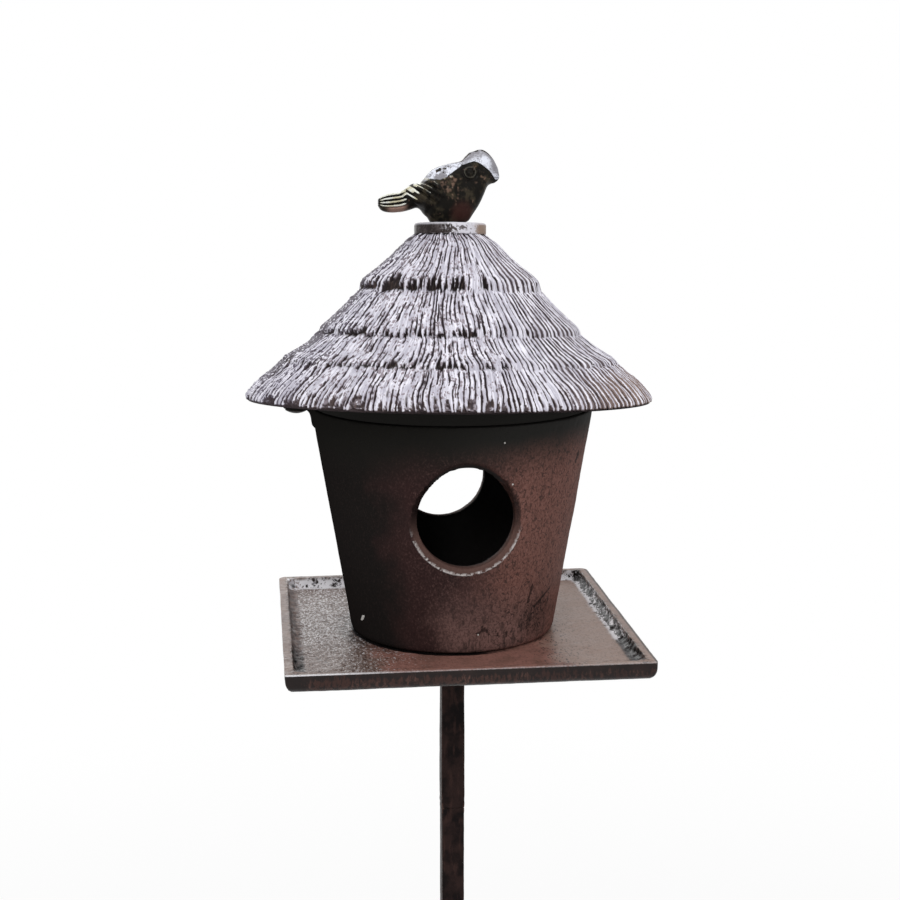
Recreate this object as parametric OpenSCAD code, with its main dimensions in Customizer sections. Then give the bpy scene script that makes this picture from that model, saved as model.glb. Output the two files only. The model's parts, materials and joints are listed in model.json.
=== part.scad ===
// Cast-iron bird feeder in the form of a thatched round hut on a post.
// Millimetres, +Z up.  The origin is the centre of the post's foot, at ground level.
// The front entrance faces -Y and the bird looks along +X.

/* [Post] */
// Side of the square post
post_w = 13.2; // [10:0.2:20]
// Length of each of the two post sections
section_len = 400; // [200:10:600]
// Side of the square stem that is fixed to the tray
stem_w = 13.6; // [10:0.2:20]
// Length of the stem that shows below the tray's socket and plate
stem_len = 107; // [60:1:200]
// Diameter of the studs that join the sections
stud_d = 8; // [5:0.5:9]
// How far a stud reaches into each section
stud_reach = 22; // [12:1:40]
// Width of the raised bead round each joint
bead_w = 2.4; // [1:0.2:5]
// How far the bead stands out from the post
bead_out = 0.3; // [0.1:0.1:1]

/* [Tray] */
// Side of the square tray
tray_w = 200; // [160:5:260]
// Full thickness of the tray at its rim
tray_h = 10.5; // [9:0.5:18]
// Depth of the tray's recess
tray_recess = 5; // [4.6:0.1:6]
// Flat width of the rim's top
rim_w = 5; // [3:0.5:10]
// Radius of the hollow between the rim and the tray's floor
cove_r = 5; // [2:0.5:5]
// Radius of the rounded lower edge
ovolo_r = 5.5; // [2:0.5:8]
// Radius of the recess's corners
recess_corner_r = 9; // [6:1:20]
// Side of the socket block under the tray
socket_w = 26; // [22:1:40]
// Height of the socket block
socket_h = 14; // [8:1:25]
// Gap round the stem in its socket
socket_gap = 0.3; // [0.1:0.1:1]

/* [House] */
// Outer radius of the house where it stands on the tray
foot_r = 59; // [50:1:75]
// Outer radius of the house at its mouth
mouth_r = 81; // [70:1:88]
// Height of the house from the tray's floor to its mouth
house_h = 132; // [118:1:170]
// Thickness of the wall
wall = 7; // [4:0.5:10]
// Thickness of the floor
floor_t = 7; // [4:0.5:12]
// Radius of the rounded outer edge at the foot
foot_round = 3; // [1:0.5:6]
// Radius of the round entrance
hole_r = 26.7; // [18:0.1:32]
// Height of the entrance's centre above the tray's floor
hole_z = 78.2; // [60:1:90]
// Width of the bevelled lip round the entrance
lip_w = 3.6; // [1:0.2:6]
// Depth of the bevelled lip
lip_depth = 6; // [2:0.5:6]

/* [Pivot] */
// Distance of the pivot bolt from the house's axis
pivot_r = 89.2; // [88.5:0.1:95]
// Radius of the ear's round end
ear_r = 7.5; // [6:0.5:9]
// Thickness of the ear
ear_t = 3; // [3:0.5:8]
// How far the ear stands above the mouth of the house
ear_rise = 1.5; // [0:0.1:1.5]
// Diameter of the pivot bolt's shank
pivot_d = 6; // [4:0.5:8]
// Diameter of the bolt's domed head
pivot_head_d = 12.9; // [10:0.1:16]
// Height of the domed head
pivot_head_h = 2; // [1.6:0.1:5]
// Thickness of the washer between the bolt's head and the ear
pivot_washer_t = 0.6; // [0.5:0.1:1.5]
// Width of the fillet under the ear, which stops short of the bolt's head
ear_fillet_w = 1.9; // [1:0.1:2]
// Height of the fillet under the ear
ear_fillet_h = 9; // [5:0.5:15]
// Gap round the shank in the ear
pivot_gap = 0.3; // [0.1:0.05:0.6]
// Length of the shank above the ear
pivot_reach = 12; // [8:1:14]

/* [Roof] */
// Radius of the eave
eave_r = 116; // [112:1:135]
// Height of the eave's plane above the mouth of the house, on the axis
eave_lift = 4.1; // [4.1:0.1:10]
// Height of the thatch from the eave to the collar
thatch_h = 92; // [80:1:120]
// Thickness of the roof's shell
shell_t = 6; // [4:0.5:8]
// How far the thatch leans back on its seat
roof_lean = 5; // [0:0.5:6]
// How far the thatch leans to the right on its seat
roof_list = 1; // [0:0.5:2]
// How far the thatch sits to the left on its seat
roof_shift = 1.8; // [0:0.1:2]
// Number of strands of thatch in the round
strands = 66; // [40:1:72]
// Height of a strand's ridge above its groove
strand_relief = 1.4; // [0:0.1:2.5]
// How far the strands' ends are out of line
ragged = 1.1; // [0:0.1:1.5]
// Depth of the step under each course
course_drop = 5; // [3:0.5:6]
// Gap between the roof's seat and the mouth of the house
seat_gap = 0.3; // [0.2:0.1:0.6]
// Width of the seat ring under the roof
seat_w = 5; // [3:0.5:6]

/* [Finial] */
// Radius of the collar under the bird
collar_r = 20.5; // [18:0.5:24]
// Height of the collar
collar_h = 6.5; // [4:0.5:12]
// Diameter of the screw that holds the bird
bird_screw_d = 5; // [4:0.5:6]
// Length of the bird from its tail to its beak
bird_len = 68.8; // [55:0.2:80]

/* [Hidden] */
round_fn = 96;

IRON = "#3a2c2a";
RUST = "#6e4a43";
SILVER = "#c6c4cc";
STEEL = "#2b2726";

// Heights from the ground up
joint_z = section_len;
stem_z = 2 * section_len;
tray_z = stem_z + stem_len;
floor_z = tray_z + tray_h - tray_recess;
mouth_z = floor_z + house_h;
eave_z = mouth_z + eave_lift;
ear_top = house_h + ear_rise;
ear_under_z = floor_z + ear_top - ear_t;

// Fixing bolt of the house, in the same thread as the studs
bolt_gap = 0.3;
thread_gap = 0.1;
bolt_head_w = 13;
bolt_head_h = 5.3;
bolt_reach = 20;
washer_t = 1.6;
washer_d = 3 * stud_d;

// Slope of the house's wall, and its outer radius at a height above the tray's floor
wall_slope = (mouth_r - foot_r) / house_h;
function house_r(z) = foot_r + wall_slope * z;

// Courses of thatch: where each starts and ends, from the collar down to the eave
course_end_r = [50.5, 74, 93, 116] * eave_r / 116;
course_end_h = [66.6, 39.2, 25, 1] * thatch_h / 92;
first_r = collar_r - 0.5;
courses = len(course_end_r);
course_gap_r = 1.2;
function course_start_r(i) = i == 0 ? first_r : course_end_r[i - 1] + course_gap_r;
function course_start_h(i) = i == 0 ? thatch_h : course_end_h[i - 1] - course_drop;

// Along a course the upper thatch is drawn in, and the lowest swells and rolls over at the eave
row_t = [0, 0.3, 0.62, 0.88, 1];
course_swell = [[0, 0, -1.2, -0.6, 0], [0, -1, -1.2, -0.6, 0], [0, 0.5, 0.2, 0, 0],
    [0, 1.4, 2.6, 1.9, 0]];
columns = 2 * strands;
eave_band = 1.9;

// Hub at the top of the shell, which the collar's plug and the bird's screw pass through
hub_r = 9;
hub_depth = 1.35 * shell_t;
hub_gap = 0.2;

// Screw that holds the bird from inside the roof
screw_head_w = 8;
screw_head_h = 3.5;
screw_reach = 8;

function ridge(i, j) = ((i + j) % 2 == 0 ? 0.5 : -0.5) * strand_relief;
function waver(i, j) = ragged * (sin(j * 47 + i * 80) + sin(j * 101 + i * 33)) / 2;
function sway(i, j, t) = 110 / columns * t * sin(j * 29 + i * 120) / 2;
function strand_fade(t) = min(1, 4 * t);

// Point of the outer surface on course i, column j and row k: [radius, height, angle]
function thatch_point(i, j, k) =
    let (t = row_t[k], r0 = course_start_r(i), h0 = course_start_h(i),
        r1 = course_end_r[i], h1 = course_end_h[i], run = norm([r1 - r0, h1 - h0]),
        out = course_swell[i][k] + ridge(i, j) * strand_fade(t), drop = t * waver(i, j))
    [r0 + (r1 - r0) * t + out * (h0 - h1) / run,
        h0 + (h1 - h0) * t + out * (r1 - r0) / run - drop,
        j * 360 / columns + sway(i, j, t)];

// Inside of the shell from the eave up to the hub, lowered by a gap
function inner_profile(gap) = [
    [eave_r - shell_t, -eave_band],
    [course_end_r[2] + 2, course_end_h[2] - 2.3 * shell_t],
    [course_end_r[1] - 2, course_end_h[1] - 1.35 * shell_t],
    [course_end_r[0] - 5, course_end_h[0] - 1.2 * shell_t],
    [first_r - 2, thatch_h - hub_depth]] - [for (k = [0:4]) [gap, gap]];

function ring_point(r, h, a) = [r * cos(a), r * sin(a), h];

// One closed loop round the shell's section for column j
function section_loop(j) = concat(
    [for (i = [0:courses - 1]) for (k = [0:len(row_t) - 1])
        let (p = thatch_point(i, j, k)) ring_point(p[0], p[1], p[2])],
    [ring_point(eave_r - 1, -eave_band, j * 360 / columns)],
    [for (p = inner_profile(0)) ring_point(p[0], p[1], j * 360 / columns)],
    [ring_point(hub_r, thatch_h - hub_depth, j * 360 / columns),
        ring_point(hub_r, thatch_h, j * 360 / columns)]);

// Places its children in the roof's own frame, which leans on the level seat
module roof_frame() {
    translate([-roof_shift, 0, eave_z])
        rotate([-roof_lean, 0, 0])
            rotate([0, roof_list, 0])
                children();
}

// Solid that fills the inside of the shell, for cutting what seats against it
module roof_core(gap) {
    core_drop = house_h / 3;
    side = inner_profile(gap);
    top = side[len(side) - 1];
    roof_frame()
        rotate_extrude($fn = round_fn)
            polygon(concat([[0, top[1]], [0, -core_drop], [side[0][0], -core_drop]], side));
}

// Square bar with a plain round hole in each end
module bar(w, z0, z1, low_hole, high_hole) {
    difference() {
        union() {
            translate([-w / 2, -w / 2, z0])
                cube([w, w, z1 - z0]);
            children();
        }
        translate([0, 0, z0 - 1])
            cylinder(h = low_hole + 1, d = stud_d + 2 * thread_gap, $fn = 48);
        translate([0, 0, z1 - high_hole])
            cylinder(h = high_hole + 1, d = stud_d + 2 * thread_gap, $fn = 48);
    }
}

// Raised bead round the bar at a joint
module bead(w, z) {
    side = w + 2 * bead_out;
    translate([-side / 2, -side / 2, z])
        cube([side, side, bead_w]);
}

module post_lower() {
    color(IRON)
        bar(post_w, 0, joint_z, 0.001, stud_reach + 1)
            bead(post_w, joint_z - bead_w);
}

module post_upper() {
    color(IRON)
        bar(post_w, joint_z, stem_z, stud_reach + 1, stud_reach + 1)
            bead(post_w, stem_z - bead_w);
}

module stem() {
    color(IRON)
        bar(stem_w, stem_z, tray_z - socket_gap, stud_reach + 1, bolt_reach + 2)
            bead(stem_w, stem_z);
}

module stud(z) {
    translate([0, 0, z - stud_reach])
        cylinder(h = 2 * stud_reach, d = stud_d, $fn = 48);
}

module lower_stud() {
    color(STEEL) stud(joint_z);
}

module stem_stud() {
    color(STEEL) stud(stem_z);
}

// Section of the tray: square at the rim and rounded below
module tray_section() {
    half = tray_w / 2;
    translate([-half, ovolo_r])
        square([tray_w, tray_h - ovolo_r]);
    translate([-half + ovolo_r, 0])
        square([tray_w - 2 * ovolo_r, ovolo_r + 0.01]);
    for (s = [-1, 1])
        translate([s * (half - ovolo_r), ovolo_r])
            circle(r = ovolo_r, $fn = 48);
}

// Section of the recess: a flat floor with a hollow up to each rim
module recess_section() {
    half = tray_w / 2 - rim_w;
    translate([-half + cove_r, tray_h - tray_recess])
        square([2 * (half - cove_r), tray_recess + 1]);
    translate([-half, tray_h])
        square([2 * half, 1]);
    intersection() {
        translate([-half, tray_h - tray_recess])
            square([2 * half, tray_recess + 0.01]);
        for (s = [-1, 1])
            translate([s * (half - cove_r), tray_h - tray_recess + cove_r])
                circle(r = cove_r, $fn = 48);
    }
}

// The same section swept along X and along Y, kept where both agree
module square_sweep() {
    intersection() {
        rotate([90, 0, 0])
            linear_extrude(height = 2 * tray_w, center = true)
                children();
        rotate([90, 0, 90])
            linear_extrude(height = 2 * tray_w, center = true)
                children();
    }
}

module round_square(side, r) {
    square([side, side - 2 * r], center = true);
    square([side - 2 * r, side], center = true);
    for (x = [-1, 1])
        for (y = [-1, 1])
            translate([x * (side / 2 - r), y * (side / 2 - r)])
                circle(r = r, $fn = 48);
}

module tray() {
    pocket_w = stem_w + 2 * socket_gap;
    color(RUST)
        difference() {
            union() {
                translate([0, 0, tray_z])
                    square_sweep()
                        tray_section();
                translate([-socket_w / 2, -socket_w / 2, tray_z - socket_h])
                    cube([socket_w, socket_w, socket_h + 1]);
            }
            translate([0, 0, tray_z])
                intersection() {
                    square_sweep()
                        recess_section();
                    linear_extrude(height = tray_h + 1)
                        round_square(tray_w - 2 * rim_w, recess_corner_r);
                }
            translate([-pocket_w / 2, -pocket_w / 2, tray_z - socket_h - 1])
                cube([pocket_w, pocket_w, socket_h + 1]);
            translate([0, 0, tray_z - 1])
                cylinder(h = tray_h + 2, d = stud_d + 2 * bolt_gap, $fn = 48);
        }
}

// Outline of the house from its axis to its outer face
module house_outline() {
    difference() {
        polygon([[0, 0], [foot_r, 0], [mouth_r, house_h], [0, house_h]]);
        translate([foot_r - foot_round, -1])
            square([2 * foot_round, foot_round + 1]);
    }
    translate([foot_r - foot_round + wall_slope * foot_round / 2, foot_round])
        circle(r = foot_round, $fn = 48);
}

module house_inside() {
    polygon([[0, floor_t], [house_r(floor_t) - wall, floor_t],
        [mouth_r - wall + wall_slope, house_h + 1], [0, house_h + 1]]);
}

// Entrance hole and its bevelled lip, cut along -Y
module entrance() {
    face = house_r(hole_z);
    translate([0, 0, hole_z])
        rotate([90, 0, 0]) {
            cylinder(h = mouth_r + 10, r = hole_r, $fn = round_fn);
            translate([0, 0, face - lip_depth])
                cylinder(h = 2 * lip_depth, r1 = hole_r, r2 = hole_r + 2 * lip_w, $fn = round_fn);
        }
}

// Hollow fillet from the wall up to the ear
module ear_fillet() {
    hollow_r = (pow(ear_fillet_w, 2) + pow(ear_fillet_h, 2)) / (2 * ear_fillet_w);
    wall_r = house_r(ear_top - ear_t);
    translate([0, ear_r, ear_top - ear_t - ear_fillet_h])
        rotate([90, 0, 0])
            linear_extrude(height = 2 * ear_r)
                difference() {
                    translate([-wall_r - ear_fillet_w, 0])
                        square([ear_fillet_w + wall / 2, ear_fillet_h + 1]);
                    translate([-wall_r - hollow_r, 0])
                        circle(r = hollow_r, $fn = round_fn);
                }
}

// The ear's round end rises past the mouth, and its neck ends level with it
module ear() {
    translate([-pivot_r, 0, ear_top - ear_t]) {
        cylinder(h = ear_t, r = ear_r, $fn = 64);
        translate([0, -ear_r, 0])
            cube([pivot_r - mouth_r + wall, 2 * ear_r, ear_t - ear_rise]);
    }
    ear_fillet();
}

module house() {
    color(RUST)
        translate([0, 0, floor_z])
            difference() {
                union() {
                    rotate_extrude($fn = round_fn)
                        house_outline();
                    ear();
                }
                rotate_extrude($fn = round_fn)
                    house_inside();
                for (a = [0, 180])
                    rotate([0, 0, a])
                        entrance();
                translate([0, 0, -1])
                    cylinder(h = floor_t + 2, d = stud_d + 2 * bolt_gap, $fn = 48);
                translate([-pivot_r, 0, ear_top - ear_t - 1])
                    cylinder(h = ear_t + 2, d = pivot_d + 2 * pivot_gap, $fn = 48);
            }
}

module washer(t, d, hole) {
    difference() {
        cylinder(h = t, d = d, $fn = 64);
        translate([0, 0, -1])
            cylinder(h = t + 2, d = hole, $fn = 48);
    }
}

module house_washer() {
    color(STEEL)
        translate([0, 0, floor_z + floor_t])
            washer(washer_t, washer_d, stud_d + 2 * bolt_gap);
}

// Hexagon bolt through the house's floor and the tray into the stem
module house_bolt() {
    head_z = floor_z + floor_t + washer_t;
    color(STEEL) {
        translate([0, 0, head_z])
            cylinder(h = bolt_head_h, d = bolt_head_w / cos(30), $fn = 6);
        translate([0, 0, tray_z - bolt_reach])
            cylinder(h = head_z - tray_z + bolt_reach, d = stud_d, $fn = 48);
    }
}

module thatch_roof() {
    loops = [for (j = [0:columns - 1]) section_loop(j)];
    rows = len(loops[0]);
    points = [for (j = [0:columns - 1]) each loops[j]];
    faces = [for (j = [0:columns - 1]) for (k = [0:rows - 1])
        let (n = (j + 1) % columns, m = (k + 1) % rows,
            a = j * rows + k, b = n * rows + k, c = n * rows + m, d = j * rows + m)
        each [[a, c, b], [a, d, c]]];
    color(SILVER)
        roof_frame()
            polyhedron(points = points, faces = faces);
}

// Level ring under the thatch that rests on the mouth of the house
module roof_seat_ring() {
    middle_r = mouth_r - wall / 2;
    color(RUST)
        intersection() {
            translate([0, 0, mouth_z + seat_gap])
                difference() {
                    cylinder(h = thatch_h, r = middle_r + seat_w / 2, $fn = round_fn);
                    translate([0, 0, -1])
                        cylinder(h = thatch_h + 2, r = middle_r - seat_w / 2, $fn = round_fn);
                }
            roof_core(seat_gap / 2);
        }
}

// Boss under the thatch that takes the pivot bolt
module roof_pivot_boss() {
    boss_r = pivot_r - mouth_r + wall / 2 - seat_w / 2 - thread_gap;
    color(RUST)
        intersection() {
            translate([-pivot_r, 0, mouth_z + ear_rise + seat_gap])
                difference() {
                    cylinder(h = thatch_h, r = boss_r, $fn = 64);
                    translate([0, 0, -1])
                        cylinder(h = pivot_reach + 2, d = pivot_d + 2 * thread_gap, $fn = 48);
                }
            roof_core(seat_gap / 2);
        }
}

// Domed bolt from below through the ear into the boss
module pivot_bolt() {
    half = pivot_head_d / 2;
    dome_r = (half * half + pivot_head_h * pivot_head_h) / (2 * pivot_head_h);
    color(STEEL)
        translate([-pivot_r, 0, ear_under_z - pivot_washer_t]) {
            rotate_extrude($fn = 64)
                intersection() {
                    translate([0, dome_r - pivot_head_h])
                        circle(r = dome_r, $fn = round_fn);
                    translate([0, -pivot_head_h])
                        square([half, pivot_head_h]);
                }
            cylinder(h = ear_t + pivot_washer_t + pivot_reach, d = pivot_d, $fn = 48);
        }
}

module pivot_washer() {
    color(STEEL)
        translate([-pivot_r, 0, ear_under_z - pivot_washer_t])
            washer(pivot_washer_t - thread_gap, pivot_head_d - 0.6, pivot_d + 2 * thread_gap);
}

// Round collar that closes the hub of the roof and carries the bird
module roof_collar() {
    edge = 1.5;
    color(SILVER)
        roof_frame()
            translate([0, 0, thatch_h])
                difference() {
                    union() {
                        rotate_extrude($fn = round_fn) {
                            square([collar_r, collar_h - edge]);
                            square([collar_r - edge, collar_h]);
                            translate([collar_r - edge, collar_h - edge])
                                circle(r = edge, $fn = 32);
                        }
                        translate([0, 0, -hub_depth])
                            cylinder(h = hub_depth + 1, r = hub_r - hub_gap, $fn = 64);
                    }
                    translate([0, 0, -hub_depth - 1])
                        cylinder(h = hub_depth + collar_h + 2,
                            d = bird_screw_d + 2 * bolt_gap, $fn = 48);
                }
}

// Everything on the bird scales with its length
bird_scale = bird_len / 68.8;
bird_sides = 40;

// Stations along the body: [x, height of the widest line, half width, rise to the back, drop to
// the belly]; a drop that passes the foot's plane makes the flat foot
body_stations = [
    [-41.1, 11, 3.2, 2, 2], [-39.6, 10.6, 4.6, 3.6, 3.6], [-37.2, 10.6, 5.2, 5, 4.7],
    [-33.2, 10.9, 5.6, 5.6, 5.4], [-28.6, 11.6, 6.2, 5.7, 5.7], [-25.4, 12.6, 6.8, 6.6, 6.1],
    [-22.4, 14, 7.6, 7.6, 6.6], [-19.4, 15.2, 8.8, 6.8, 6.9], [-17.2, 15.9, 9.8, 6.6, 8.6],
    [-15.2, 16.4, 10.6, 8.4, 11.6], [-13.2, 16.8, 11.2, 10.4, 13.8], [-10.8, 17, 11.7, 12.6, 17.4],
    [-7.3, 17.4, 12, 14, 19.6], [-3.7, 17.8, 12.1, 14.8, 20], [0, 18.2, 12, 15.4, 20.4],
    [3.5, 19.2, 11.6, 15.1, 21], [6.4, 20.8, 11, 13.9, 22], [8.4, 22.4, 10.4, 14.2, 23],
    [10.6, 24.2, 9.8, 15, 23.6], [13, 26, 9.3, 14.8, 21.8], [16.2, 28, 8.8, 13.9, 18.8],
    [18.7, 29.2, 8.2, 12.4, 14.8], [21, 29.8, 7.2, 10.2, 9.8], [23.2, 29.6, 5.6, 7.6, 7.4],
    [25.2, 28.8, 3.8, 5.6, 5.8], [26.8, 27.8, 2.2, 3.8, 3.6], [27.7, 26.6, 0.8, 1.2, 1.2]];
rings_per_station = 2;

// Smooth curve through a list's rows, at a place counted in rows
function along(rows, place) =
    let (i = floor(place), t = place - i, last = len(rows) - 1, a = rows[max(0, i - 1)],
        b = rows[i], c = rows[min(i + 1, last)], d = rows[min(i + 2, last)])
    b + t * (c - a) / 2 + t * t * (2 * a - 5 * b + 4 * c - d) / 2
        + t * t * t * (3 * b - a - 3 * c + d) / 2;
function fade(value, low, high) = let (t = max(0, min(1, (value - low) / (high - low))))
    t * t * (3 - 2 * t);

// The folded wing: long feathers that slope up to their tips, side by side across the slope
wing_slope = 31;
wing_span = 14;
wing_front = -15;
wing_tip = -32;
wing_relief = 1.3;
feather_w = 3;
feather_relief = 0.7;
function wing(x, z) =
    let (p = x * cos(wing_slope) - z * sin(wing_slope),
        q = z * cos(wing_slope) + x * sin(wing_slope), part = q / feather_w - floor(q / feather_w),
        tip = wing_tip + 0.5 * max(0, q), here = fade(q, -0.6, 0.6) * fade(q, wing_span, wing_span - 3)
            * fade(p, tip - 1, tip + 1) * fade(p, wing_front + 1.5, wing_front - 1.5))
    here * (wing_relief + feather_relief * (part - 0.5));

// Round eye on each side of the head, and grooves along the tail
eye = [10, 28.4];
eye_r = 3.2;
eye_relief = 0.9;
function eye_bump(x, z) = eye_relief * max(0, 1 - pow(norm([x, z] - eye) / eye_r, 2));
tail_grooves = 6;
tail_relief = 0.45;
function tail_ridge(x, a) = tail_relief * cos(tail_grooves * a) * fade(x, -22, -30) * fade(x, -41, -38);

function body_point(s, a) =
    let (z = max(0, s[1] + (sin(a) < 0 ? s[4] : s[3]) * sin(a)), ridge = tail_ridge(s[0], a),
        out = wing(s[0], z) + eye_bump(s[0], z))
    [s[0], (s[2] + out + ridge) * cos(a), z + ridge * sin(a)];

module bird_body() {
    last = rings_per_station * (len(body_stations) - 1);
    stations = [for (i = [0:last]) along(body_stations, i / rings_per_station)];
    points = [for (s = stations) for (k = [0:bird_sides - 1]) body_point(s, k * 360 / bird_sides)];
    sides = [for (i = [0:last - 1]) for (k = [0:bird_sides - 1])
        let (n = (k + 1) % bird_sides, a = i * bird_sides + k, b = i * bird_sides + n)
        each [[a, b, b + bird_sides], [a, b + bird_sides, a + bird_sides]]];
    tail_cap = [[for (k = [0:bird_sides - 1]) bird_sides - 1 - k]];
    beak_cap = [[for (k = [0:bird_sides - 1]) last * bird_sides + k]];
    polyhedron(points = points, faces = concat(sides, tail_cap, beak_cap));
}

module bird() {
    hole_depth = screw_reach + 2;
    color(SILVER)
        roof_frame()
            translate([0, 0, thatch_h + collar_h])
                scale(bird_scale)
                    difference() {
                        bird_body();
                        translate([0, 0, -1])
                            cylinder(h = hole_depth + 1, d = (bird_screw_d + 2 * thread_gap) / bird_scale,
                                $fn = 24);
                    }
}

module bird_washer() {
    color(STEEL)
        roof_frame()
            translate([0, 0, thatch_h - hub_depth - washer_t])
                washer(washer_t, 2 * hub_r - 1, bird_screw_d + 2 * bolt_gap);
}

module bird_screw() {
    under = thatch_h - hub_depth - washer_t;
    color(STEEL)
        roof_frame()
            translate([0, 0, under - screw_head_h]) {
                cylinder(h = screw_head_h, d = screw_head_w / cos(30), $fn = 6);
                cylinder(h = screw_head_h + washer_t + hub_depth + collar_h + screw_reach,
                    d = bird_screw_d, $fn = 48);
            }
}

post_lower();
post_upper();
lower_stud();
stem();
stem_stud();
tray();
house();
house_washer();
house_bolt();
thatch_roof();
roof_seat_ring();
roof_pivot_boss();
pivot_bolt();
pivot_washer();
roof_collar();
bird();
bird_washer();
bird_screw();
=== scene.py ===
"""Looks of a cast-iron bird feeder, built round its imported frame.

The feeder is a round hut with a thatched roof and a bird on top, standing on a square tray and a
square post.  Every piece is a casting: its form comes from mesh code, and its patina and dry-brushed
silver from nodes that follow the relief.  Lengths are in millimetres until a mesh is written.  Masks
run from 0 to 1, and a side from -1 on the left to 1 on the right.
"""

from __future__ import annotations

import json
import logging
import math
from dataclasses import dataclass
from enum import Enum
from typing import Any, Dict, NamedTuple, Optional, Sequence, Tuple, Union

import bmesh
import bpy
import numpy as np
from mathutils import Matrix, Vector

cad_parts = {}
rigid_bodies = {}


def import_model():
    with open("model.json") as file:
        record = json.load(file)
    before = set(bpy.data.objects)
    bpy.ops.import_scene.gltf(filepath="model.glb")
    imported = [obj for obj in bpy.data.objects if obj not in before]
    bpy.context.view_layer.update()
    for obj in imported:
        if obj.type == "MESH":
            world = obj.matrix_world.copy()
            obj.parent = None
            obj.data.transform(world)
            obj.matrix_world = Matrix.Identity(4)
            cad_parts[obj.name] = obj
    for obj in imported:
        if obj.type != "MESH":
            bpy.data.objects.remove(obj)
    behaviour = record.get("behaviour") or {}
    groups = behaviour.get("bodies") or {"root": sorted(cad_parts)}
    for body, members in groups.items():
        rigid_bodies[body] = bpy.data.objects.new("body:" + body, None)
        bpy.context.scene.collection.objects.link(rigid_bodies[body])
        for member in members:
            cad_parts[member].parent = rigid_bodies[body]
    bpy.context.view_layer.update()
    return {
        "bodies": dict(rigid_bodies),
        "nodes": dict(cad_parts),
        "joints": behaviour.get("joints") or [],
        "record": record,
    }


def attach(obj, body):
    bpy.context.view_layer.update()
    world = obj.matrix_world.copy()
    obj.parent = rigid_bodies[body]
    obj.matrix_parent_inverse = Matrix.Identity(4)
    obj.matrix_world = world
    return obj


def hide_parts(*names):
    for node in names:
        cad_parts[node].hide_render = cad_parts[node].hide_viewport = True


LOG = logging.getLogger("feeder")
MM = 0.001  # metres in a millimetre
TRAY_HALF = 100.0  # half the tray's width
TRAY_TOP = 917.5  # height of the rim's top
FLOOR = 912.5  # height of the tray's floor, on which the house stands
HOUSE_FOOT = 59.0  # radius of the house at its foot
HOLE = 990.7  # height of the entrances' centre
OCTAVE_SHIFT = 17.3  # how far the layers of a random field are moved apart, in cells
# Large odd numbers that scramble whole-numbered places, 32 bits at a time, into random values.
HASH_AXES = (73856093, 19349663, 83492791)
HASH_SEED, HASH_FACTOR, HASH_MASK = 2654435761, 0x45D9F3B, 0xFFFFFFFF
HASH_SHIFTS = (16, 13, 16)

Array = np.ndarray
Colour = Tuple[float, float, float]
Point2 = Tuple[float, float]
Spots = Sequence[Tuple[Point2, float]]


class Body(Enum):
    """Bodies of the feeder that pieces ride on."""

    ROOT = "root"
    ROOF = "roof"


class Slot(Enum):
    """Finishes that the record names."""

    POST = "post_iron"
    TRAY = "tray_iron"
    HOUSE = "house_iron"
    THATCH = "thatch_iron"
    COLLAR = "collar_iron"
    BIRD = "bird_iron"


# ---------------- shader arithmetic


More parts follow.
